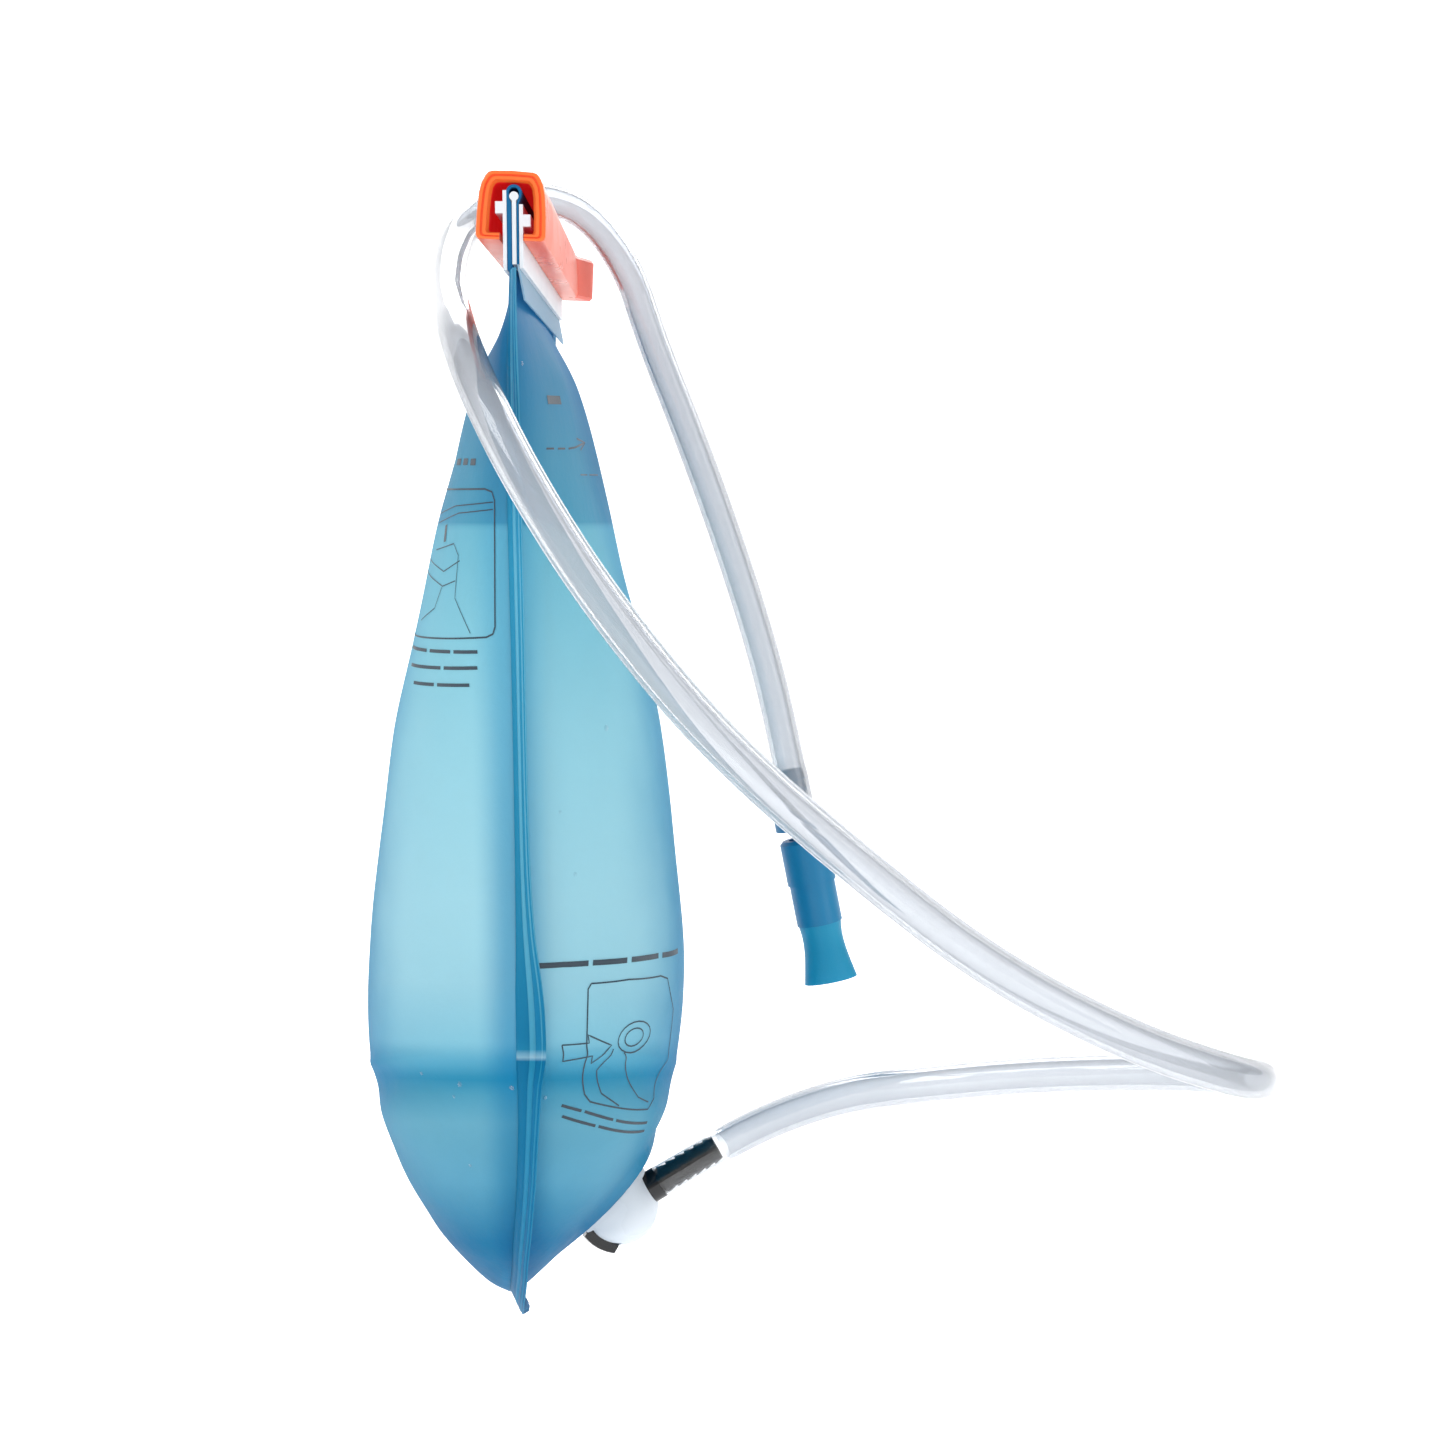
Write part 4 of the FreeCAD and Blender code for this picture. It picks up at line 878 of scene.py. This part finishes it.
def tube(path, outer, inner, steps=HOSE_STEPS):
    """A hollow tube along a path. outer and inner give its radii at a distance from its start."""
    lengths = [0.0]
    for before, after in zip(path, path[1:]):
        lengths.append(lengths[-1] + (after - before).length)
    run = (path[1] - path[0]).normalized()
    across, _ = frame_along(run)
    surfaces = ([], [])
    for index, here in enumerate(path):
        before = path[max(index - 1, 0)]
        after = path[min(index + 1, len(path) - 1)]
        run = (after - before).normalized()
        across = (across - run * across.dot(run)).normalized()
        up = run.cross(across)
        for surface, radius in zip(surfaces, (outer, inner)):
            for step in range(steps):
                angle = math.tau * step / steps
                spoke = across * math.cos(angle) + up * math.sin(angle)
                surface.append(here + spoke * radius(lengths[index], lengths[-1]))
    rows = len(path)
    points = surfaces[0] + surfaces[1]
    outside = strip_faces(rows, steps, close_columns=True)
    offset = rows * steps
    inside = [tuple(offset + corner for corner in reversed(face)) for face in outside]
    ends = []
    for row, order in ((0, 1), (rows - 1, -1)):
        for step in range(steps):
            beside = (step + 1) % steps
            corners = (row * steps + step, offset + row * steps + step,
                       offset + row * steps + beside, row * steps + beside)
            ends.append(corners[::order])
    return points, outside + inside + ends


hose_path = read_spline("hose_line", HOSE_ROUTE)


def past_plug(distance):
    """0 over the plug's barbs and 1 past them."""
    return smooth_step(*PLUG_EASE, distance)


def over_bite_valve(distance, length):
    """0 before the bite valve's barbs and 1 over them."""
    return smooth_step(length - BITE_EASE[0], length - BITE_EASE[1], distance)


def hose_outside(distance, length):
    """The outer radius, a little less over the plug and a little more over the bite valve's barbs."""
    return HOSE_DIAMETER / 2 * (0.94 + 0.06 * past_plug(distance) + 0.06 * over_bite_valve(distance, length))


def hose_inside(distance, length):
    """The bore's radius, wider at both ends."""
    return HOSE_BORE / 2 * (1.20 - 0.20 * past_plug(distance) + 0.18 * over_bite_valve(distance, length))


hose_points, hose_faces = tube(hose_path, hose_outside, hose_inside)


def over_the_plug(face):
    """Whether a face is on the first stretch, which is pulled thin and clear over the plug's barbs."""
    row = face % ((len(hose_path) - 1) * HOSE_STEPS) // HOSE_STEPS
    return 1 if (hose_path[row] - hose_path[0]).length < SOCKET_LENGTH else 0


hose = mesh_piece("drinking_hose", hose_points, hose_faces, [TUBE, TUBE_SOCKET], None,
                  sharp=60, choose=over_the_plug)
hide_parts("hose")
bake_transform(hose)


# ---------------------------------------------------------------- CAD pieces that stay

FINISHES = {
    "bulb_rod": WHITE,
    "left_guide_strip": WHITE,
    "right_guide_strip": WHITE,
    "mouth_flap": FILM_FLAP,
    "port_base": WHITE,
    "port_gasket": RUBBER,
    "port_lock_ring": WHITE,
    "valve_housing": HOUSING,
    "latch_fork": STEEL,
    "release_button": BLACK,
    "button_spring": STEEL,
    "poppet": WHITE,
    "poppet_seal": RUBBER,
    "poppet_spring": STEEL,
    "hose_plug": BLACK,
    "plug_o_ring": RUBBER,
    "bite_spigot": BLUE,
    "spigot_o_ring": RUBBER,
    "bite_sleeve": BLUE,
    "bite_mouthpiece": SILICONE,
}
for node_name, finish in FINISHES.items():
    node_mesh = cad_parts[node_name].data
    node_mesh.materials.clear()
    node_mesh.materials.append(finish)


# ---------------------------------------------------------------- floor, light and camera

# The floor's height and front edge, and the sweep that turns it up into the backdrop.
FLOOR_HEIGHT = -0.345
FLOOR_FRONT = -2.4
FLOOR_HALF_WIDTH = 4.0
SWEEP_START, SWEEP_RADIUS, SWEEP_STEPS = 1.6, 1.2, 12
BACKDROP_TOP = 4.0
PAPER_GLOW = 0.62
WORLD_STRENGTH = 0.58
LIGHTS_AIM = (0.03, 0.0, -0.13)
CAMERA_LENS, CAMERA_SENSOR = 55.26, 36.0
CAMERA_PLACE = (0.03975, -0.630, -0.0645)
CAMERA_TILT, CAMERA_TURN = 83.71, -1.12


def add_floor():
    """A pale floor that curves up into the backdrop."""
    profile = [(FLOOR_FRONT, FLOOR_HEIGHT), (SWEEP_START, FLOOR_HEIGHT)]
    for step in range(1, SWEEP_STEPS + 1):
        angle = math.pi / 2 * step / SWEEP_STEPS
        profile.append((SWEEP_START + SWEEP_RADIUS * math.sin(angle),
                        FLOOR_HEIGHT + SWEEP_RADIUS * (1 - math.cos(angle))))
    profile.append((SWEEP_START + SWEEP_RADIUS, BACKDROP_TOP))
    points = [(x, y, z) for y, z in profile for x in (-FLOOR_HALF_WIDTH, FLOOR_HALF_WIDTH)]
    mesh = bpy.data.meshes.new("floor")
    mesh.from_pydata(points, [], strip_faces(len(profile), 2))
    for polygon in mesh.polygons:
        polygon.use_smooth = True
    material = new_material("floor_paper")
    place = add_node(material, "TexCoord").outputs["Object"]
    grain = add_node(material, "TexNoise", {"Vector": place, "Scale": 300.0})
    normal = bump(material, grain.outputs["Fac"], 0.0001, 0.3)
    paper = add_node(material, "BsdfPrincipled", {
        "Base Color": colour(250, 250, 251), "Roughness": 0.9, "Normal": normal,
        "Emission Color": (1.0, 1.0, 1.0, 1.0), "Emission Strength": PAPER_GLOW})
    mesh.materials.append(set_output(material, paper.outputs["BSDF"]))
    floor = bpy.data.objects.new("floor", mesh)
    bpy.context.scene.collection.objects.link(floor)


def add_area(name, place, size, power):
    """A rectangular light that faces the object."""
    data = bpy.data.lights.new(name, "AREA")
    data.shape = "RECTANGLE"
    data.size, data.size_y = size
    data.energy = power
    light = bpy.data.objects.new(name, data)
    light.location = place
    light.rotation_euler = (Vector(LIGHTS_AIM) - Vector(place)).to_track_quat("-Z", "Y").to_euler()
    bpy.context.scene.collection.objects.link(light)


def add_light():
    """Even white surroundings, with a key, a fill and a back light."""
    world = bpy.data.worlds.new("studio")
    bpy.context.scene.world = world
    world.use_nodes = True
    background = world.node_tree.nodes["Background"]
    background.inputs["Color"].default_value = (1.0, 1.0, 1.0, 1.0)
    background.inputs["Strength"].default_value = WORLD_STRENGTH
    add_area("key", (-0.9, -1.0, 0.9), (0.8, 0.8), 13.0)
    add_area("fill", (1.1, -0.8, 0.3), (0.7, 1.2), 5.0)
    add_area("back", (0.2, 1.1, 0.6), (1.2, 0.8), 8.0)


def add_camera():
    """The camera looks along the closure from its near end."""
    data = bpy.data.cameras.new("camera")
    data.lens = CAMERA_LENS
    data.sensor_width = CAMERA_SENSOR
    camera = bpy.data.objects.new("camera", data)
    camera.location = CAMERA_PLACE
    camera.rotation_euler = (math.radians(CAMERA_TILT), 0.0, math.radians(CAMERA_TURN))
    bpy.context.scene.collection.objects.link(camera)
    bpy.context.scene.camera = camera


add_floor()
add_light()
add_camera()
bpy.context.scene.view_settings.view_transform = "Standard"
